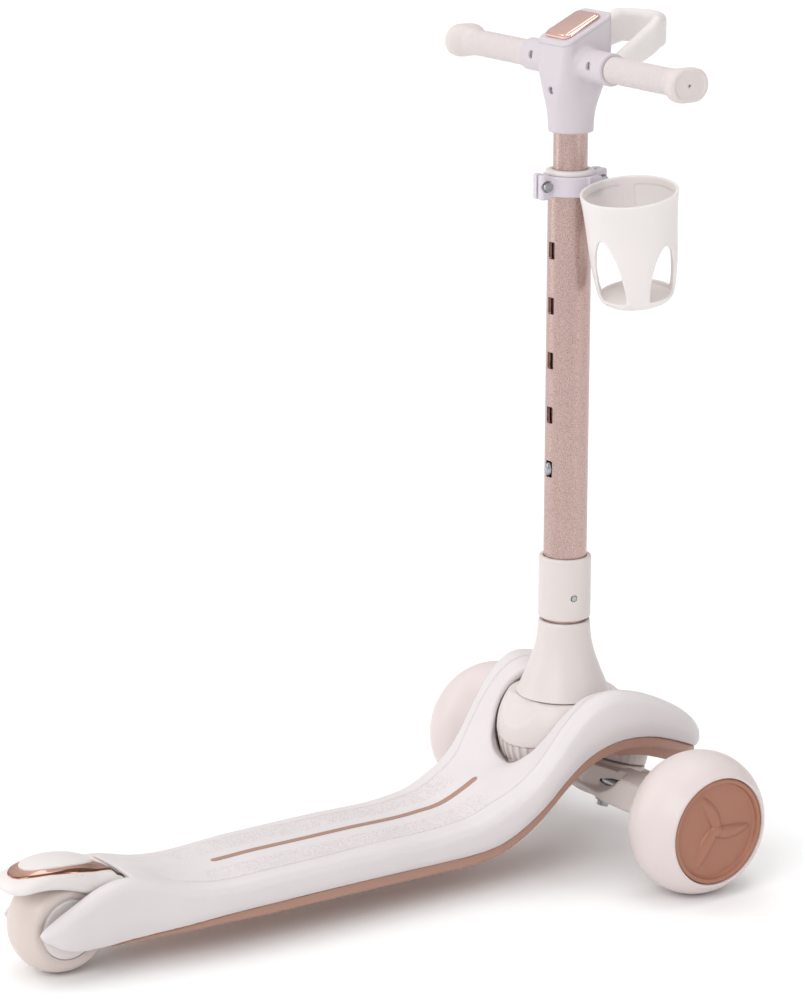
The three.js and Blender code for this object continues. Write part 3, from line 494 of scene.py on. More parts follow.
def trim_look():
    """Rose plating with a painted reflection: its colour is darkened into bands where its surface faces part way up,
    standing in for the dark surroundings that plating would mirror.
    """
    n = chrome_look("rose_trim", "E9B9A6", 0.1)
    facing = n.add("ShaderNodeSeparateXYZ", {"Vector": n.tree.nodes["Texture Coordinate"].outputs["Normal"]})
    up = facing.outputs["Z"]
    # painted reflection: darkens the plating where its normal points part way up, in place of mirrored dark
    # surroundings
    painted_reflection_dark = n.times(n.ramp(up, 0.2, 0.5), n.ramp(up, 0.965, 0.86))
    bright = n.source("Base Color")
    n.set("Base Color", n.mix(n.times(painted_reflection_dark, 0.85), bright, linear("4A2A20")))
    return n.material


def steel_look():
    n = Nodes("zinc_steel")
    n.set("Base Color", n.mix(n.noise(300.0, 3), linear("8F9196"), linear("C4C5C8")))
    n.set("Roughness", n.ramp(n.noise(700.0, 3), 0.3, 0.7, 0.24, 0.4))
    n.set("Metallic", 1.0)
    return n.material


def tyre_look(name, colour):
    """Cast polyurethane: slightly translucent, with a faint cloudiness."""
    n = moulded(name, colour, 0.36, grain=900.0, grain_strength=0.04, drift=0.025)
    n.set("Subsurface Weight", 0.18)
    return n.material


def cup_look():
    """A thin white moulding that lets some light through its wall."""
    n = moulded("cup_white", "E2DBD9", 0.4)
    n.set("Subsurface Weight", 0.45)
    n.set("Subsurface Radius", (0.012, 0.010, 0.009))
    n.set("Subsurface Scale", 1.0)
    return n.material


def head_look():
    """Lavender-white moulding with a fine parting line below its sloping top rim."""
    n = moulded("head_lavender", "CDC5CA", 0.38)
    y, z = n.axes()[1:3]
    forward = n.less(y, STEM_Y * MM)
    top = n.math("ADD", n.times(forward, PLATE_TAN), (PLATE_Z - PLATE_Y * PLATE_TAN - 3.2) * MM)
    line = n.ramp(n.math("ABSOLUTE", n.less(z, top)), 0.00025, 0.0005, 1.0, 0.0)
    n.set("Normal", n.bump(n.less(1.0, line), 0.6, 0.0004, n.source("Normal")))
    n.set("Base Color", n.mix(n.times(line, 0.6), n.source("Base Color"), linear("B9B5BC")))
    return n.material


LOOKS = {
    "deck": deck_look(),
    "white": moulded("white_plastic", "E0DAD8", 0.38).material,
    "cup": cup_look(),
    "cream": moulded("cream_plastic", "DAD1CE", 0.38).material,
    "head": head_look(),
    "clamp": moulded("clamp_lavender", "D4CCD5", 0.36).material,
    "grip": grip_look(),
    "copper": copper_look("copper_cap", "A8745F"),
    "tray": copper_look("copper_tray", "AE8878"),
    "tyre": tyre_look("tyre_white", "DBCFCD"),
    "warm_tyre": tyre_look("tyre_warm", "D6C8C2"),
    "hub": moulded("hub_white", "E6DEDD", 0.36).material,
    "rose": tube_look(),
    "trim": trim_look(),
    "plate": chrome_look("plate_rose", "EDC4B9", 0.14).material,
    "hinge": chrome_look("bronze_band", "6B4F43", 0.25).material,
    "steel": steel_look(),
}

# ---- deck
HALF_WIDTH = smooth_curve([
    (-518, 34), (-500, 38.5), (-468, 40.5), (-438, 42), (-420, 45), (-400, 49), (-360, 54), (-300, 57),
    (-220, 58), (-150, 58), (-100, 61), (-66, 65), (-35, 71), (0, 77.5), (28, 80), (56, 80), (72, 78.6), (84, 75),
    (93, 68), (100, 57), (105, 42),
])
RIM = smooth_curve([
    (-518, 46), (-500, 56), (-484, 64), (-468, 71.5), (-452, 75.5), (-438, 75.5), (-420, 71), (-400, 64.5),
    (-380, 61), (-300, 60.5), (-220, 60.5), (-150, 60.5), (-125, 63.5), (-100, 73), (-88, 79), (-76, 88),
    (-66, 99), (-55, 113), (-45, 126.5), (-35, 138), (-25, 147.5), (-13, 155), (0, 158), (14, 156.3),
    (28, 152.3), (42, 146.3), (56, 139), (70, 130.6), (80, 123), (90, 114.5), (98, 107), (105, 99.5),
])
INNER = smooth_curve([
    (-518, 46), (-500, 56), (-484, 64), (-468, 71.5), (-452, 75.8), (-438, 75.8), (-420, 72), (-400, 65.5),
    (-380, 61.6), (-300, 60.9), (-220, 60.9), (-150, 61.1), (-125, 64), (-100, 73.6), (-88, 79.6), (-76, 86),
    (-66, 93), (-55, 103.5), (-45, 116.5), (-35, 129), (-25, 137), (-13, 143.5), (0, 146.2), (28, 143.5),
    (56, 134), (70, 126), (80, 118.5), (90, 109.5), (98, 101.5), (105, 94),
])
MIDDLE = smooth_curve([
    (-518, 46), (-484, 64), (-468, 71.5), (-452, 76), (-438, 76), (-420, 73), (-400, 66.5), (-380, 62.6),
    (-300, 61.5), (-220, 61.5), (-150, 61.7), (-125, 64.3), (-101, 73.5), (-88, 79.8), (-76, 83.5), (-60, 87),
    (-48, 89), (-40, 94), (-30, 106), (-15, 121), (0, 129), (28, 131), (56, 127), (70, 122), (80, 116.5),
    (90, 108.5), (98, 101), (105, 93.5),
])
LOW = smooth_curve([
    (-518, 41.5), (-510, 36), (-500, 30), (-484, 25.6), (-468, 25), (-438, 26.5), (-400, 30), (-360, 33.5),
    (-300, 35.5), (-220, 36), (-150, 35.5), (-125, 36.3), (-100, 41), (-88, 46.5), (-78, 52.5), (-66, 61.5),
    (-55, 72), (-45, 83), (-35, 93), (-25, 101.5), (-13, 108.5), (0, 113), (14, 114.8), (28, 114), (42, 111.5),
    (56, 107), (70, 101.5), (80, 97), (90, 92.3), (98, 89), (105, 86.5),
])


CONE_R = smooth_curve([(140.4, 40), (145.5, 37.2), (152, 34.4), (158, 31.9), (165, 29.2), (174.5, 25.9),
                       (186, 23.2), (203, 21.5)])


def kingpin_place(y, z):
    """Distance ahead of the kingpin's axis and height along it."""
    dy, dz = y - KINGPIN_AT[0], z - KINGPIN_AT[1]
    sin, cos = math.sin(KINGPIN_TILT), math.cos(KINGPIN_TILT)
    return dy * cos - dz * sin, dy * sin + dz * cos


def slope_of(curve):
    return lambda y: (curve(y + 1.0) - curve(y - 1.0)) / 2


def deck_top(ax, y):
    """Height of the deck's top over (|x|, y): a valley in the middle, a ridge on each side, and round shoulders."""
    half = HALF_WIDTH(y)
    rim_x = half - 13
    ridge_x = np.clip(0.62 * (half - 17), 1, None)
    middle, inner, rim = MIDDLE(y), INNER(y), RIM(y)
    valley = middle + (inner - middle) * (0.35 * (ax / ridge_x) + 0.65 * ease(ax / ridge_x))
    wing = inner + (rim - inner) * np.clip((ax - ridge_x) / (rim_x - ridge_x), 0, 1)
    over = np.clip((ax - rim_x) / 13, 0, 2)
    return np.where(ax < ridge_x, valley, wing) - 2.2 * over**2


def deck_outer(x, y, z):
    ax = np.abs(x)
    half, low, rim = HALF_WIDTH(y), LOW(y), RIM(y)
    lean = np.hypot(1, slope_of(RIM)(y))
    up = (z - deck_top(ax, y)) / lean
    level = np.clip((z - low) / (0.45 * (rim - low)), -0.5, 3)
    barrel = np.where(level < 1, 5.0 * (1 - level) ** 2, 0.5 * (level - 1) ** 2)
    side = (ax - (half - barrel)) / np.hypot(1, slope_of(HALF_WIDTH)(y))
    under = (low - z) / np.hypot(1, slope_of(LOW)(y))
    return meet(meet(up, side, np.interp(y, [60, 90], [8.0, 5.5])), under, 1.2), up, side


def deck_field(x, y, z):
    body, up, side = deck_outer(x, y, z)
    ends = np.maximum(y - DECK_FRONT, DECK_REAR - y)
    body = meet(body, ends, 4.0)
    hollow = meet(meet(up + 5, side + 5), -62 - y)
    hollow = meet(hollow, y - 97)
    pocket = ball(x, y, z, BALL_CENTRE, POCKET_R)
    body = remove(body, meet(hollow, 7.5 - pocket), 1.0)
    fork = meet(np.abs(x) - FORK_HALF, y - FORK_START)
    body = remove(body, fork, 2.0)
    panel_x = np.interp(y, [-420, -385, -330, -111, -80, -55, 0, 60], [12, 34, 40.5, 40.5, 46, 56, 58, 50])
    step = 0.8 * ease((np.abs(x) - panel_x + 0.8) / 1.6) * ease((y + 405) / 25) * ease((60 - y) / 40)
    body = body + np.where(up > -4, 0.8 * step, 0)
    body = remove(body, pocket, 5.0)
    body = remove(body, folding_cone(x, y, z), 1.0)
    axle = meet(np.hypot(y - REAR_AXLE[0], z - REAR_AXLE[1]) - 4.6, np.abs(x) - 33.5)
    return remove(body, axle)


def folding_cone(x, y, z):
    """The room that the stem's flared foot takes as the stem folds back, with a little to spare."""
    up, back = z - BALL_CENTRE[2], -y
    fold = np.clip(np.arctan2(back, up), 0, FOLD_LIMIT)
    height = up * np.cos(fold) + back * np.sin(fold)
    ahead = up * np.sin(fold) - back * np.cos(fold)
    radius = CONE_R(height + BALL_CENTRE[2])
    return meet((np.hypot(x, ahead) - radius - 1.2) * 0.85, np.maximum(31.4 - height, height - 97))


def tray_field(x, y, z):
    ax = np.abs(x)
    low = LOW(y)
    lean = np.hypot(1, slope_of(LOW)(y))
    belly_depth = np.where(y < -82, 0.5, np.clip(0.5 + (y + 82) * 0.75, 0, 12))
    keel = HALF_WIDTH(y) - 24
    belly = belly_depth * ease((keel + 3 - ax) / 5)
    depth = 0.8 + 8.7 * np.clip((y + 470) / 150, 0, 1) ** 0.8
    slab = meet((z - (low - 0.4)) / lean, (low - depth - belly - z) / lean)
    body = meet(slab, (ax - (HALF_WIDTH(y) - 6.8)) / np.hypot(1, slope_of(HALF_WIDTH)(y)), 1.2)
    body = meet(body, np.maximum(y - 99, -468 - y), 2.5)
    body = remove(body, meet(ax - FORK_HALF, y - FORK_START), 1.5)
    well = meet(ball(x, y, z, BALL_CENTRE, POCKET_R), y - 20)
    body = remove(body, well, 1.0)
    ahead, up = kingpin_place(y, z)
    return remove(body, meet(np.hypot(x, ahead) - 27.4, -up - 30), 0.8)


def make_deck():
    field_piece("deck_top_shell", deck_field, (-84, -522, 20), (84, 109, 164), 1.6, LOOKS["deck"], "deck",
                ["deck_shell"], "white")
    field_piece("copper_tray", tray_field, (-78, -472, 10), (78, 103, 118), 1.6, LOOKS["tray"], "deck",
                ["under_tray"], "copper")
    rear, front, strip_half = -346.5, -88.4, 2.8
    ys = np.concatenate([[rear, -346.2, -345.2], np.linspace(-343, -92, 60), [-89.8, -88.7, front]])
    rings = []
    for y in ys:
        from_end = min(y - rear, front - y)
        half = strip_half * math.sqrt(max(0.02, 1 - max(0.0, 1 - from_end / strip_half) ** 2))
        top = float(MIDDLE(y)) + 0.6
        rings.append([[-half, y, top - 2], [half, y, top - 2], [half, y, top - 0.25], [half * 0.8, y, top],
                      [-half * 0.8, y, top], [-half, y, top - 0.25]])
    mesh_piece("deck_strip", *loft(rings), LOOKS["tray"], "deck", ["deck_inlay"], "copper", 50)


# ---- steering truck
def truck_field(x, y, z):
    """A block under the kingpin with an arm to each wheel, hollowed where the stem's ball swings."""
    ahead, up = kingpin_place(y, z)
    ax = np.abs(x)
    nose = (ax * 0.55 - ahead - 33) * 0.87
    block = meet(meet(np.maximum(ax - 29.5, nose), np.abs(ahead - 0.5) - 29.5, 5.0), np.abs(up + 18.5) - 13.5, 2.5)
    stations, corner = [12, 34, 70, 100, 109, 117], 4.5
    half_y = np.interp(ax, stations, [12, 15, 14, 12.4, 8, 7])
    half_z = np.interp(ax, stations, [13, 14, 13.5, 11.8, 8, 7])
    along, above = np.abs(y - FRONT_AXLE[0]), np.abs(z - FRONT_AXLE[1])
    arm = round_box(along - (half_y - corner), above - (half_z - corner), corner)
    arm = meet(arm, ax - 116.4, 1.0)
    arm = meet(arm, np.where(ax < 38, up + 5, -30.0), 1.0)
    body = unite(block, arm, 2.5)
    reach = np.hypot(x, ahead)
    body = unite(body, meet(reach - 26.9, np.maximum(up + 0.9, -7 - up), 0.8), 0.5)
    turn = np.clip(np.arctan2(x, -ahead), -STEER_LIMIT, STEER_LIMIT)
    ball_away, ball_up, room_r = 64.2, 20.5, 57.4
    from_side, from_rear = x - ball_away * np.sin(turn), ahead + ball_away * np.cos(turn)
    swing = np.sqrt(from_side ** 2 + from_rear ** 2 + (up - ball_up) ** 2) - room_r
    body = remove(body, meet(swing, y - 21 - 0.25 * ax), 1.0)
    body = remove(body, meet(reach - 19.4, -4.9 - up), 0.3)
    body = remove(body, reach - 5.5)
    return remove(body, np.hypot(y - FRONT_AXLE[0], z - FRONT_AXLE[1]) - 4.6)


def make_truck():
    field_piece("steering_beam", truck_field, (-119, -8, 24), (119, 102, 92), 1.3, LOOKS["cream"], "truck",
                ["truck_beam"], "cream")


# ---- wheels
def tread(radius, arc, reach, steps=16):
    return [(x, radius - arc + math.sqrt(arc * arc - x * x)) for x in np.linspace(-reach, reach, steps)]


def cap_height(r, angle):
    """How far the hub cap's face stands out at a radius and an angle: three tapering blades and a middle dome."""
    height = 0.0
    for blade in (-2.0, 118.0, 238.0):
        turn = angle - math.radians(blade)
        along, across = r * math.cos(turn) / 35.0, r * math.sin(turn)
        if not 0 < along < 1:
            continue
        half = 1.6 + 4.4 * math.sin(math.pi * min(1.0, 0.12 + 0.88 * along**0.8)) ** 0.8
        shift = across + 0.25 * half
        reach = half * (0.75 if shift > 0 else 1.25)
        crest = max(0.0, 1 - (shift / reach) ** 2) ** 0.6
        height = max(height, 3.2 * crest * (1 - along**5))
    dome = 4.2 * math.sqrt(max(0.0, 1 - (r / 6.0) ** 2))
    return max(height, dome)


def make_front_wheel(side, suffix):
    at = (side * FRONT_WHEEL_X, *FRONT_AXLE)
    body = f"front_wheel_{suffix}"

    def sided(profile):
        return [(side * s, r) for s, r in profile]

    tyre = rounded([
        (-26.8, 34), (-29.9, 37, 1.0), (-29.9, 43.5, 3), *tread(60, 40, 27.6, 22), (29.9, 47.2, 2.4),
        (29.9, 45.4, 0.5), (28.0, 45.1, 0.4), (21, 45.1), (21, 34), (-26.8, 34),
    ], 0.0)
    turned_piece(f"tyre_{suffix}", sided(tyre), "x", at, 144,
                 LOOKS["tyre"], body, [f"front_tyre_{suffix}"], "tyre", 40)

    rim = rounded([
        (22.5, 0.0), (22.5, 44.6), (28.2, 44.6, 0.7), (28.9, 43.2, 0.6), (28.6, 40.9, 0.5), (25.6, 39.9, 0.5),
        (24.8, 38.0), (24.2, 0.0),
    ], 0.3)
    turned_piece(f"hub_cap_rim_{suffix}", sided(rim), "x", at, 144,
                 LOOKS["copper"], body, [f"hub_cap_{suffix}"], "copper", 40)
    spokes = []
    radii, turns = np.linspace(0, 39.4, 66), 240
    for r in radii:
        for k in range(turns):
            a = 2 * math.pi * k / turns
            out = side * (24.9 + cap_height(r, a if side > 0 else math.pi - a))
            spokes.append([at[0] + out, at[1] + r * math.cos(a), at[2] + r * math.sin(a)])
    count = len(radii)
    quads = [(i * turns + k, i * turns + (k + 1) % turns, (i + 1) * turns + (k + 1) % turns, (i + 1) * turns + k)
             for i in range(count - 1) for k in range(turns)]
    back = len(spokes)
    spokes.append([at[0] + side * 23.2, at[1], at[2]])
    last = (count - 1) * turns
    quads += [(last + k, last + (k + 1) % turns, back) for k in range(turns)]
    if side < 0:
        quads = [q[::-1] for q in quads]
    mesh_piece(f"hub_cap_face_{suffix}", *weld(spokes, quads), LOOKS["copper"], body, (), "copper", 60)

    core = rounded([
        (-18.7, 8), (-18.7, 11.4), (-26.3, 11.4, 0.5), (-26.8, 20, 1), (-24.6, 33.7, 0.8), (20, 33.7, 0.5),
        (20, 11.4), (11.7, 11.4), (11.7, 8), (-18.7, 8),
    ], 0.4)
    turned_piece(f"wheel_core_{suffix}", sided(core), "x", at, 96,
                 LOOKS["cream"], body, [f"front_core_{suffix}"], "cream")


def make_rear_wheel():
    at = (0, *REAR_AXLE)
    tyre = rounded([
        (-21.3, 25.0), (-22, 27, 0.6), (-22, 31, 3), *tread(40, 34, 19.2, 18), (22, 31, 3), (22, 27, 0.6),
        (21.3, 25.0), (21.3, 24.9), (-21.3, 24.9), (-21.3, 25.0),
    ], 0.0)
    turned_piece("tyre_rear", tyre, "x", at, 128,
                 LOOKS["warm_tyre"], "rear_wheel", ["rear_tyre"], "warm_tyre", 40)
    core = rounded([
        (-13.5, 8), (-13.5, 11.4), (-21.2, 11.4, 0.5), (-21.2, 22.6, 0.5), (-20.6, 23.2, 0.3), (-20.6, 24.5, 0.2),
        (20.6, 24.5, 0.2), (20.6, 23.2, 0.3), (21.2, 22.6, 0.5), (21.2, 11.4, 0.5), (13.5, 11.4), (13.5, 8),
        (-13.5, 8),
    ], 0.3)
    turned_piece("wheel_core_rear", core, "x", at, 96, LOOKS["hub"], "rear_wheel", ["rear_core"], "cream")


# ---- foot brake
FENDER_TOP = smooth_curve([
    (-540, 73), (-535.8, 77.5), (-530, 82.6), (-520, 87.4), (-508, 90.6), (-494, 91.8), (-480, 91.0), (-468, 88.3),
    (-456, 84.0), (-446, 79.6), (-438, 75.6),
])


def crown(x, y, z, lift):
    """Distance above an arched top, raised by a lift, that falls away towards its sides."""
    fall = np.interp(np.abs(x), [0, 7, 13, 20, 24, 27], [0, 0.3, 1.2, 3.6, 6.5, 11])
    fall = fall * (1 - 0.75 * ease((y + 466) / 24))
    return (z - FENDER_TOP(y) + fall - lift) / np.hypot(1, slope_of(FENDER_TOP)(y))


def fender_plan(x, y, half, rear, corner):
    """Distance outside a plan that is straight at the sides and round at the rear corners."""
    dx, dy = np.abs(x) - (half - corner), rear + corner - y
    return round_box(dx, dy, corner)


SKIRT = smooth_curve([
    (-540, 74.5), (-528, 76), (-515.5, 77), (-494, 74.2), (-472, 66.6), (-458, 61), (-446, 58), (-436, 58),
])


def fender_field(x, y, z):
    top = crown(x, y, z, 0)
    body = meet(top, SKIRT(y) - z, 2.6)
    body = meet(body, fender_plan(x, y, 26.1, -535.8, 17), 4.5)
    front = np.maximum(y + 438.3, (y + 438) * 0.6 + (z - 79) * 0.8)
    body = meet(body, front, 3.0)
    wheel = meet(np.hypot(y - REAR_AXLE[0], z - REAR_AXLE[1]) - 43.8, np.abs(x) - 23.4)
    body = remove(body, wheel, 1.0)
    return remove(body, np.hypot(y - BRAKE_PIN[0], z - BRAKE_PIN[1]) - 3.4)


def lens_half(y, rear, front, widest):
    t = np.clip((y - rear) / (front - rear), 0, 1)
    return widest * np.clip(4 * t * (1 - t), 0, 1) ** 0.42


def trim_field(x, y, z):
    layer = meet(crown(x, y, z, 1.3), -crown(x, y, z, -1.6))
    plan = np.abs(x) - lens_half(y, -526.5, -434.0, 22.6)
    plan = np.maximum(plan, y + 445.5)
    return meet(layer, plan * 0.8, 1.1)


def pad_field(x, y, z):
    layer = meet(crown(x, y, z, 2.7), -crown(x, y, z, 0.4))
    plan = np.abs(x) - lens_half(y, -517.0, -456.0, 17.0)
    return meet(layer, plan * 0.8, 0.9)


def hinge_field(x, y, z):
    layer = meet(crown(x, y, z, 0.9), -crown(x, y, z, -3.0))
    return meet(layer, np.maximum(np.abs(x) - 23.4, np.abs(y + 442.4) - 3.3), 0.5)


def make_fender():
    low, high = (-28, -540, 52), (28, -434, 102)
    field_piece("brake_hinge_band", hinge_field, low, high, 0.7, LOOKS["hinge"], "fender", (), "rose_chrome")
    field_piece("brake_shell", fender_field, low, high, 0.8, LOOKS["white"], "fender", ["fender_shell"], "white")
    field_piece("brake_trim", trim_field, low, high, 0.7, LOOKS["trim"], "fender", ["fender_trim"], "rose_chrome")
    field_piece("brake_pad", pad_field, low, high, 0.7, LOOKS["white"], "fender", ["fender_pad"], "white")


# ---- stem foot
RIB_PITCH = 8.6


def pedal_lip(x):
    """Height of the arched top edge of the recess that the fold pedal sits in."""
    return 107.5 - 5.0 * np.cos(np.clip(x / 40, -1.2, 1.2) * math.pi / 2)


def ball_field(x, y, z):
    body = meet(ball(x, y, z, BALL_CENTRE, BALL_R), z - (GAP_Z - 0.5), 0.6)
    front = np.maximum(y - 50, (y - 18) * 0.55 - (z - 112) * 0.83)
    body = meet(body, front)
    body = meet(body, np.where(y < 0, 83.5 + (y + 58) * 0.14, 92 + y * 0.4) - z)
    dish = ball(x, y, z, (0, -114.4, 185.5), 90.0)
    body = remove(body, dish, 1.2)
    zone = meet(meet(z - pedal_lip(x), np.abs(x) - 34.3), meet(83 - z, y + 20))
    recess = meet(zone, -ball(x, y, z, BALL_CENTRE, BALL_R - 9.5))
    return remove(body, recess, 0.7)


def pedal_field(x, y, z):
    shell = meet(ball(x, y, z, BALL_CENTRE, BALL_R - 2.6), -ball(x, y, z, BALL_CENTRE, BALL_R - 6))
    waves = np.abs(((x / RIB_PITCH) % 1.0) - 0.5) * RIB_PITCH
    rib = meet(2.4 - waves, ball(x, y, z, BALL_CENTRE, BALL_R - 0.4), 0.7)
    rib = meet(rib, -ball(x, y, z, BALL_CENTRE, BALL_R - 4.5))
    body = unite(shell, rib, 0.6)
    zone = meet(meet(z - pedal_lip(x) + 0.5, np.abs(x) - 33.8), meet(86 - z, y + 22))
    return meet(body, zone, 0.5)


def make_stem_foot():
    field_piece("stem_ball_shell", ball_field, (-58, -58, 80), (58, 54, 142), 1.0, LOOKS["cream"], "stem",
                ["stem_ball"], "cream")
    field_piece("fold_pedal_ribs", pedal_field, (-36, -57, 84), (36, -18, 112), 0.7, LOOKS["cream"], "pedal",
                ["fold_pedal"], "cream")
    outside = [(z, float(CONE_R(z))) for z in np.linspace(140.8, 202.6, 26)]
    cone = [(140.4, 12), (140.4, 39.6), *outside, (203.4, 20.8), (203.4, 18.4), (141, 18.4), (140.4, 12)]
    turned_piece("stem_flare", cone, "z", (0, 0, 0), 128, LOOKS["cream"], "stem", ["stem_cone"], "cream", 40)
    field_piece("stem_sleeve", collar_field, (-23, -23, 204), (23, 23, 261), 0.9, LOOKS["cream"], "stem",
                ["stem_collar"], "white")


def collar_field(x, y, z):
    """A plain sleeve with softened rims and a hole for its clamping screw."""
    r = np.hypot(x, y)
    rim = np.where(z > 232, z - 259, 206 - z)
    sleeve = meet(meet(r - 21.9, rim, 1.6), 18.3 - r, 0.3)
    turn = math.radians(-14.5)
    out, across = x * math.cos(turn) + y * math.sin(turn), y * math.cos(turn) - x * math.sin(turn)
    hole = meet(np.hypot(across, z - 226) - 2.8, -out)
    return remove(sleeve, hole, 0.4)


# ---- tubes
def make_tubes():
    bore, wall = OUTER_TUBE
    outer = [(152, bore), (152, wall), (573.4, wall), (574, 17.4), (574, bore), (152, bore)]
    tube = turned_piece("lower_tube", outer, "z", (0, 0, 0), 128,
                        LOOKS["rose"], "stem", ["outer_tube"], "rose", 40)
    for z in SLOT_Z:
        cut_slot(tube, z, 8.0, 14.0)
    bore, wall = INNER_TUBE
    inner = [(300, bore), (300, wall), (656, wall), (656, bore), (300, bore)]
    tube = turned_piece("upper_tube", inner, "z", (0, 0, 0), 128,
                        LOOKS["rose"], "upper", ["inner_tube"], "rose", 40)
    cut_slot(tube, SLOT_Z[0], 7.6, 12.8)
    knob = rounded([(-10.5, 0.0), (-10.5, 3.3), (-17.5, 3.3, 0.5), (-21.0, 2.6, 1.6), (-21.4, 0.0)], 1.0)
    points, faces = lathe(knob, "y", (0, 0, SLOT_Z[0]), 48)
    points = np.array(points)
    points[:, 2] = SLOT_Z[0] + (points[:, 2] - SLOT_Z[0]) * 1.75
    mesh_piece("snap_knob", points, faces, LOOKS["steel"], "button", ["snap_button"], "steel", 50)


def cut_slot(tube, z, width, height):
    """Cuts a slot with round corners through the rear wall of a tube."""
    outline = round_outline(width / 2, height / 2, 1.4, 4)
    rings = [[[x, y, z + up] for x, up in outline] for y in (-26.0, -6.0)]
    points, faces = loft(rings)
    mesh = bpy.data.meshes.new("slot_cutter")
    mesh.from_pydata(to_frame(points), [], faces)
    face_outward(mesh)
    cut_away(tube, add_object("slot_cutter", mesh))


def cut_away(target, tool):
    modifier = target.modifiers.new("cut", "BOOLEAN")
    modifier.operation = "DIFFERENCE"
    modifier.object = tool
    modifier.solver = "EXACT"
    bpy.context.view_layer.update()
    evaluated = target.evaluated_get(bpy.context.evaluated_depsgraph_get())
    result = bpy.data.meshes.new_from_object(evaluated)
    target.modifiers.clear()
    old = target.data
    target.data = result
    bpy.data.meshes.remove(old)
    bpy.data.objects.remove(tool)


# ---- clamp and cup holder
CUP_UP = np.array([0.073, -0.162, 1.0]) / np.linalg.norm([0.073, -0.162, 1.0])
CUP_RIM = np.array([63.0, 12.0, 573.0])
CUP_HEIGHT = 92.0
CUP_RADIUS = smooth_curve([
    (0, 27), (3, 29.5), (10, 31.8), (20, 33.5), (40, 35.6), (60, 36.8), (80, 38.4), (92, 39.9),
])


def cup_place(x, y, z):
    """Height above the cup's bottom, distance from its axis and the angle round it."""
    floor = CUP_RIM - CUP_HEIGHT * CUP_UP
    side = np.cross([0, 1, 0], CUP_UP)
    side /= np.linalg.norm(side)
    ahead = np.cross(CUP_UP, side)
    dx, dy, dz = x - floor[0], y - floor[1], z - floor[2]
    height = dx * CUP_UP[0] + dy * CUP_UP[1] + dz * CUP_UP[2]
    u = dx * side[0] + dy * side[1] + dz * side[2]
    v = dx * ahead[0] + dy * ahead[1] + dz * ahead[2]
    return height, np.hypot(u, v), np.degrees(np.arctan2(v, u))


def angle_gap(angle, target):
    return (angle - target + 180) % 360 - 180


def cup_field(x, y, z):
    height, r, angle = cup_place(x, y, z)
    radius = CUP_RADIUS(height)
    outside = r - radius
    recess = meet(np.abs(height - 73) - 12.5, 5.2 - np.abs(angle_gap(angle, 146)) * r * math.pi / 180, 3)
    inside = r - (radius - 2.7) - 1.0 * (1 - ease((recess + 0.5) / 1.0))
    body = meet(outside, -np.maximum(inside, 3.2 - height), 1.0)
    body = meet(body, np.maximum(height - CUP_HEIGHT, -height), 1.0)
    for target, apex in ((11, 53), (101, 53), (191, 61), (281, 61)):
        across = np.abs(angle_gap(angle, target)) * math.pi / 180 * 34
        t = np.clip((height - 6) / (apex - 6), 0, 1)
        half = 16.4 * np.sqrt(np.clip(1 - t * t, 0, 1)) ** 1.25
        window = meet((across - half) * 0.85, np.maximum(6 - height, height - apex), 3.0)
        body = remove(body, meet(window, 15 - r), 0.9)
    return body


def clamp_field(side):
    def field(x, y, z):
        r = np.hypot(x, y)
        band = meet(r - CLAMP_OUTER, -(r - CLAMP_INNER))
        tip = np.abs(y) - 33.0
        lug = meet(meet(np.abs(x) - 7.2, tip, 2.5), 20 - np.abs(y))
        swell = np.where(np.abs(y) > 20, 2.0 * ease((np.abs(y) - 20) / 8), 0)
        body = unite(band, lug, 3.0)
        if side > 0:
            tongue = meet(meet(np.abs(y - 8.5) - 6.5, 19 - x), x - 30)
            body = unite(body, tongue, 2.0)
        body = meet(body, np.maximum(CLAMP_LOW - swell - z, z - CLAMP_HIGH - swell), 1.5)
        body = meet(body, 1.2 - side * x, 0.5)
        screw = np.hypot(np.abs(y) - CLAMP_SCREW[0], z - CLAMP_SCREW[1])
        body = remove(body, meet(screw - 4.6, 5.0 - side * x), 0.5)
        body = remove(body, screw - 2.5)
        height, cup_r, _ = cup_place(x, y, z)
        return remove(body, meet(cup_r - CUP_RADIUS(height) - 0.2, -height - 2))
    return field


def make_clamp_and_cup():
    for side, suffix, reach in ((1, "right", 34), (-1, "left", 28)):
        xs = sorted((-2 * side, reach * side))
        field_piece(f"clamp_band_{suffix}", clamp_field(side), (xs[0], -36, 558), (xs[1], 36, 585), 0.6,
                    LOOKS["clamp"], "stem", [f"clamp_{suffix}"], "lavender")
    ring = rounded([
        (574.3, 14.5), (574.3, 17.8), (579.7, 17.8), (579.7, 20.2, 0.3), (582.6, 20.0, 0.9), (583.6, 17.5, 0.6),
        (583.6, 14.5, 0.3), (574.3, 14.5),
    ], 0.3)
    turned_piece("clamp_ring", ring, "z", (0, 0, 0), 96, LOOKS["cup"], "stem", ["clamp_bush"], "cream")
    field_piece("cup", cup_field, (14, -32, 478), (106, 62, 582), 0.85, LOOKS["cup"], "stem", ["cup_holder"], "white")


# ---- handlebar head
HEAD_X = smooth_curve([(612, 18.2), (622, 18.4), (634, 19.2), (646, 20.6), (658, 21.4), (676, 21.6), (712, 21.0)])
HEAD_Y = smooth_curve([(612, 18.2), (622, 18.4), (634, 19.4), (646, 21.2), (658, 22.8), (676, 23.6), (712, 23.0)])
HEAD_MID = smooth_curve([(612, 0), (634, 0), (658, 1.4), (676, 2.6), (712, 3.2)])
HEAD_CORNER = smooth_curve([(612, 18), (634, 17), (650, 13.5), (662, 9.5), (680, 7), (712, 6.5)])


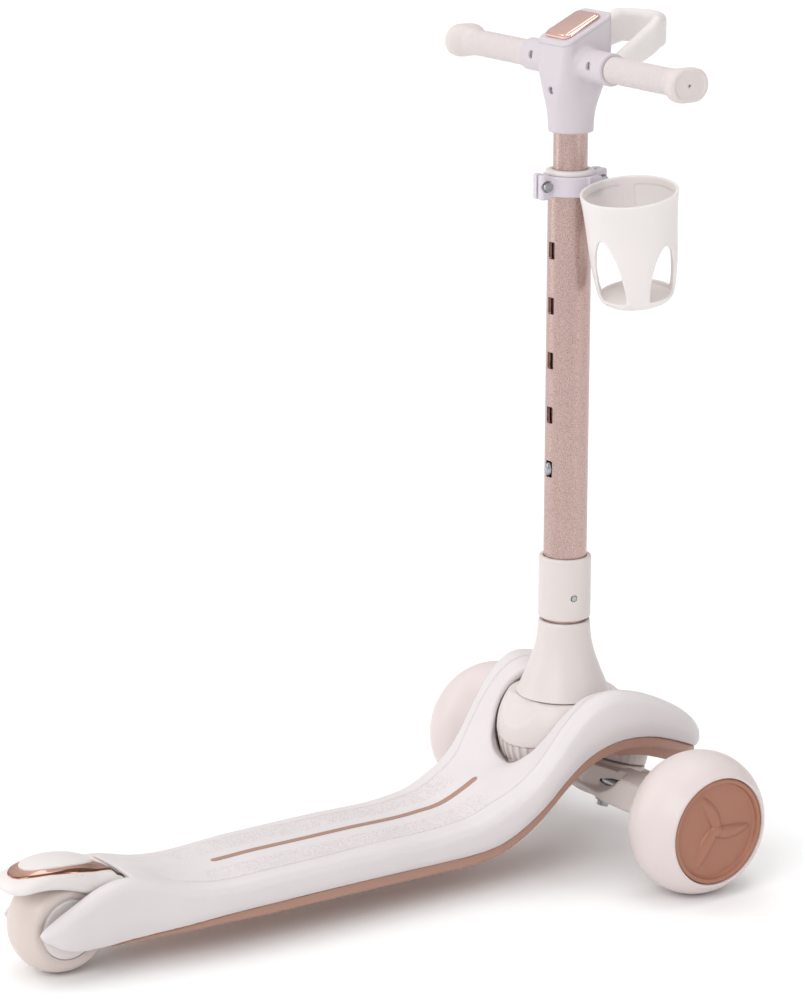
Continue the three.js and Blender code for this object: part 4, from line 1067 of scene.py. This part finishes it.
def head_field(x, y, z):
    corner = HEAD_CORNER(z)
    dx = np.abs(x) - (HEAD_X(z) - corner)
    dy = np.abs(y - HEAD_MID(z)) - (HEAD_Y(z) - corner)
    top = (z - (PLATE_Z + (y - PLATE_Y) * PLATE_TAN)) * math.cos(PLATE_TILT)
    body = meet(meet(round_box(dx, dy, corner), top, 2.0), 614 - z, 1.2)
    arm_r = np.hypot(y, z - BAR_Z)
    arms = meet(arm_r - ARM_R, np.abs(x) - ARM_END, 1.0)
    body = unite(body, arms, 5.0)
    tube = meet(np.hypot(x, y) - 14.25, z - 655)
    body = remove(body, tube, 0.5)
    body = remove(body, meet(arm_r - 8.4, 50 - np.abs(x)))
    slot = np.hypot(np.abs(x) - 38.7, np.maximum(np.abs(z - 672) - 0.8, 0)) - 2.5
    body = remove(body, meet(slot, y + 8), 0.4)
    neck = np.hypot(x, z - 648.5) - 3.1
    return remove(body, meet(neck, y + 14), 0.4)


def loop_top(y):
    return np.clip(678.5 + (y - 24) * 0.667, 674, 705.5)


def loop_bottom(y):
    return np.minimum(678.5, 660 + (y - 10) * 0.25 + np.clip(y - 47, 0, None) * 0.2)


def loop_field(x, y, z):
    run = np.where(y < 52, np.abs(np.abs(x) - 28.9), np.abs(np.hypot(x, y - 52) - 28.9)) - 5.5
    body = meet(run, np.maximum((z - loop_top(y)) * 0.85, loop_bottom(y) - z), 5.2)
    body = meet(body, 6 - y, 0.5)
    return remove(body, meet(np.hypot(y, z - BAR_Z) - ARM_R - 0.25, np.abs(x) - 60))


FLANGE_Y = smooth_curve([(124, 10.7), (130, 11.0), (136, 13), (141, 16.4), (144.5, 18.2), (151, 18.4), (154, 18.2)])
FLANGE_Z = smooth_curve([(124, 10.7), (130, 10.9), (136, 11.5), (141, 12.5), (144.5, 13.2), (151, 13.4), (154, 13.2)])


def grip_field(side):
    def field(x, y, z):
        out = side * x
        up = z - BAR_Z
        half_y, half_z = FLANGE_Y(out), FLANGE_Z(out)
        corner = half_z - 0.05
        dy, dz = np.abs(y) - (half_y - corner), np.abs(up) - (half_z - corner)
        body = meet(round_box(dy, dz, corner), ARM_END + 0.3 - out, 0.8)
        from_rim = np.hypot(np.maximum(dy, 0), np.maximum(dz, 0)) - corner
        body = meet(body, out - GRIP_END + 0.9 * (1 - ease((from_rim + 4.2) / 1.2)), 2.2)
        hole = meet(np.hypot(y, up) - 1.3, 146 - out)
        return remove(body, unite(hole, meet(np.hypot(y, up) - 8.2, out - 146)))
    return field


def make_head():
    field_piece("bar_head", head_field, (-58, -27, 611), (58, 31, 714), 0.9, LOOKS["head"], "upper", ["t_head"],
                "lavender")
    field_piece("hand_loop", loop_field, (-37, 2, 656), (37, 90, 708), 0.9, LOOKS["white"], "upper",
                ["ring_handle"], "white")
    for side, suffix in SIDES:
        xs = sorted((side * 53, side * 156))
        field_piece(f"hand_grip_{suffix}", grip_field(side), (xs[0], -21, 655), (xs[1], 21, 686), 0.8,
                    LOOKS["grip"], "upper", [f"grip_{suffix}"], "white")
    make_plate()


def make_plate():
    """The plated badge plate: a rounded oblong with a polished double bevel."""
    half_x, half_y, corner = 15.6, 19.6, 5.5
    levels = [(0.0, 0.3), (0.0, 1.6), (0.25, 2.2), (0.8, 2.6), (1.5, 2.75), (1.9, 3.3), (2.5, 3.7), (3.4, 3.85)]
    sin, cos = math.sin(PLATE_TILT), math.cos(PLATE_TILT)
    rings = []
    for inset, up in levels:
        outline = round_outline(half_x - inset, half_y - inset, corner - 0.7 * inset, 8)
        rings.append([[u, PLATE_Y + v * cos - up * sin, PLATE_Z + v * sin + up * cos] for u, v in outline])
    mesh_piece("badge_plate", *loft(rings), LOOKS["plate"], "upper", ["head_plate"], "rose_chrome", 25)


# ---- looks of the CAD nodes that stay
def dress_kept_nodes():
    for name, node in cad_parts.items():
        if name not in stood_for:
            node.data.materials.clear()
            node.data.materials.append(LOOKS["cream" if name in ("steer_boss", "steer_bush") else "steel"])


# ---- studio
def look_at(eye, target):
    return (Vector(target) - Vector(eye)).to_track_quat("-Z", "Y").to_euler()


def make_floor():
    reach = 30.0
    mesh = bpy.data.meshes.new("floor")
    corners = [(-reach, -reach, 0), (reach, -reach, 0), (reach, reach, 0), (-reach, reach, 0)]
    mesh.from_pydata(corners, [], [(0, 1, 2, 3)])
    floor = add_object("floor", mesh)
    n = Nodes("floor_white")
    n.set("Base Color", n.mix(n.noise(3.0, 2), (0.975, 0.975, 0.975, 1), (0.985, 0.985, 0.985, 1)))
    n.set("Roughness", 0.9)
    n.set("Specular IOR Level", 0.1)
    mesh.materials.append(n.material)


def make_room():
    """A plain white room, brightest overhead and behind the rider's left shoulder."""
    world = bpy.data.worlds.new("studio")
    bpy.context.scene.world = world
    world.use_nodes = True
    tree = world.node_tree
    background = tree.nodes["Background"]
    background.inputs["Color"].default_value = (1, 1, 1, 1)
    sky = tree.nodes.new("ShaderNodeTexCoord")
    brightness = [("DOT_PRODUCT", (-0.22, -0.26, 0.0), 1.0), ("DOT_PRODUCT", (0.0, 0.0, 0.46), 0.42)]
    parts = []
    for operation, direction, start in brightness:
        dot = tree.nodes.new("ShaderNodeVectorMath")
        dot.operation = operation
        dot.inputs[1].default_value = direction
        tree.links.new(sky.outputs["Generated"], dot.inputs[0])
        total = tree.nodes.new("ShaderNodeMath")
        total.operation = "ADD"
        total.inputs[1].default_value = start
        tree.links.new(dot.outputs["Value"], total.inputs[0])
        parts.append(total)
    product = tree.nodes.new("ShaderNodeMath")
    product.operation = "MULTIPLY"
    for place, part in enumerate(parts):
        tree.links.new(part.outputs[0], product.inputs[place])
    tree.links.new(product.outputs[0], background.inputs["Strength"])


def make_lamps():
    for name, direction, spread, strength in (
        ("overhead", (-0.1, 0.1, 1.0), 45, 0.66),
        ("key", (0.42, -0.8, 0.62), 35, 0.95),
    ):
        light = bpy.data.lights.new(name, "SUN")
        light.angle = math.radians(spread)
        light.energy = strength
        add_object(name, light).rotation_euler = look_at(direction, (0, 0, 0))
    for name, eye, size, power in (
        ("left_strip", (-1.5, -1.3, 1.0), (0.35, 1.6), 6.0),
        ("right_strip", (1.9, 0.9, 1.1), (0.25, 1.5), 4.0),
    ):
        light = bpy.data.lights.new(name, "AREA")
        light.shape = "RECTANGLE"
        light.size, light.size_y = size
        light.energy = power
        lamp = add_object(name, light)
        lamp.location = eye
        lamp.rotation_euler = look_at(eye, (0, 0.2, 0.4))


def make_camera():
    camera = bpy.data.cameras.new("camera")
    camera.sensor_fit = "VERTICAL"
    camera.sensor_width = camera.sensor_height = 36.0
    camera.lens = 132.6
    holder = add_object("camera", camera)
    azimuth, elevation, roll = math.radians(55.93), math.radians(15.2), math.radians(-0.1)
    level = math.cos(elevation)
    back = Vector((math.sin(azimuth) * level, -math.cos(azimuth) * level, math.sin(elevation)))
    holder.location = (2.3640, (-1762.0 + STEM_Y) * MM, 1.1054)
    turn = back.to_track_quat("Z", "Y").to_matrix() @ Matrix.Rotation(-roll, 3, "Z")
    holder.rotation_euler = turn.to_euler()
    scene = bpy.context.scene
    scene.camera = holder
    scene.view_settings.view_transform = "Standard"
    scene.view_settings.look = "None"


make_deck()
for wheel_side, wheel_name in SIDES:
    make_front_wheel(wheel_side, wheel_name)
make_rear_wheel()
make_truck()
make_fender()
make_stem_foot()
make_tubes()
make_clamp_and_cup()
make_head()
dress_kept_nodes()
make_floor()
make_room()
make_lamps()
make_camera()
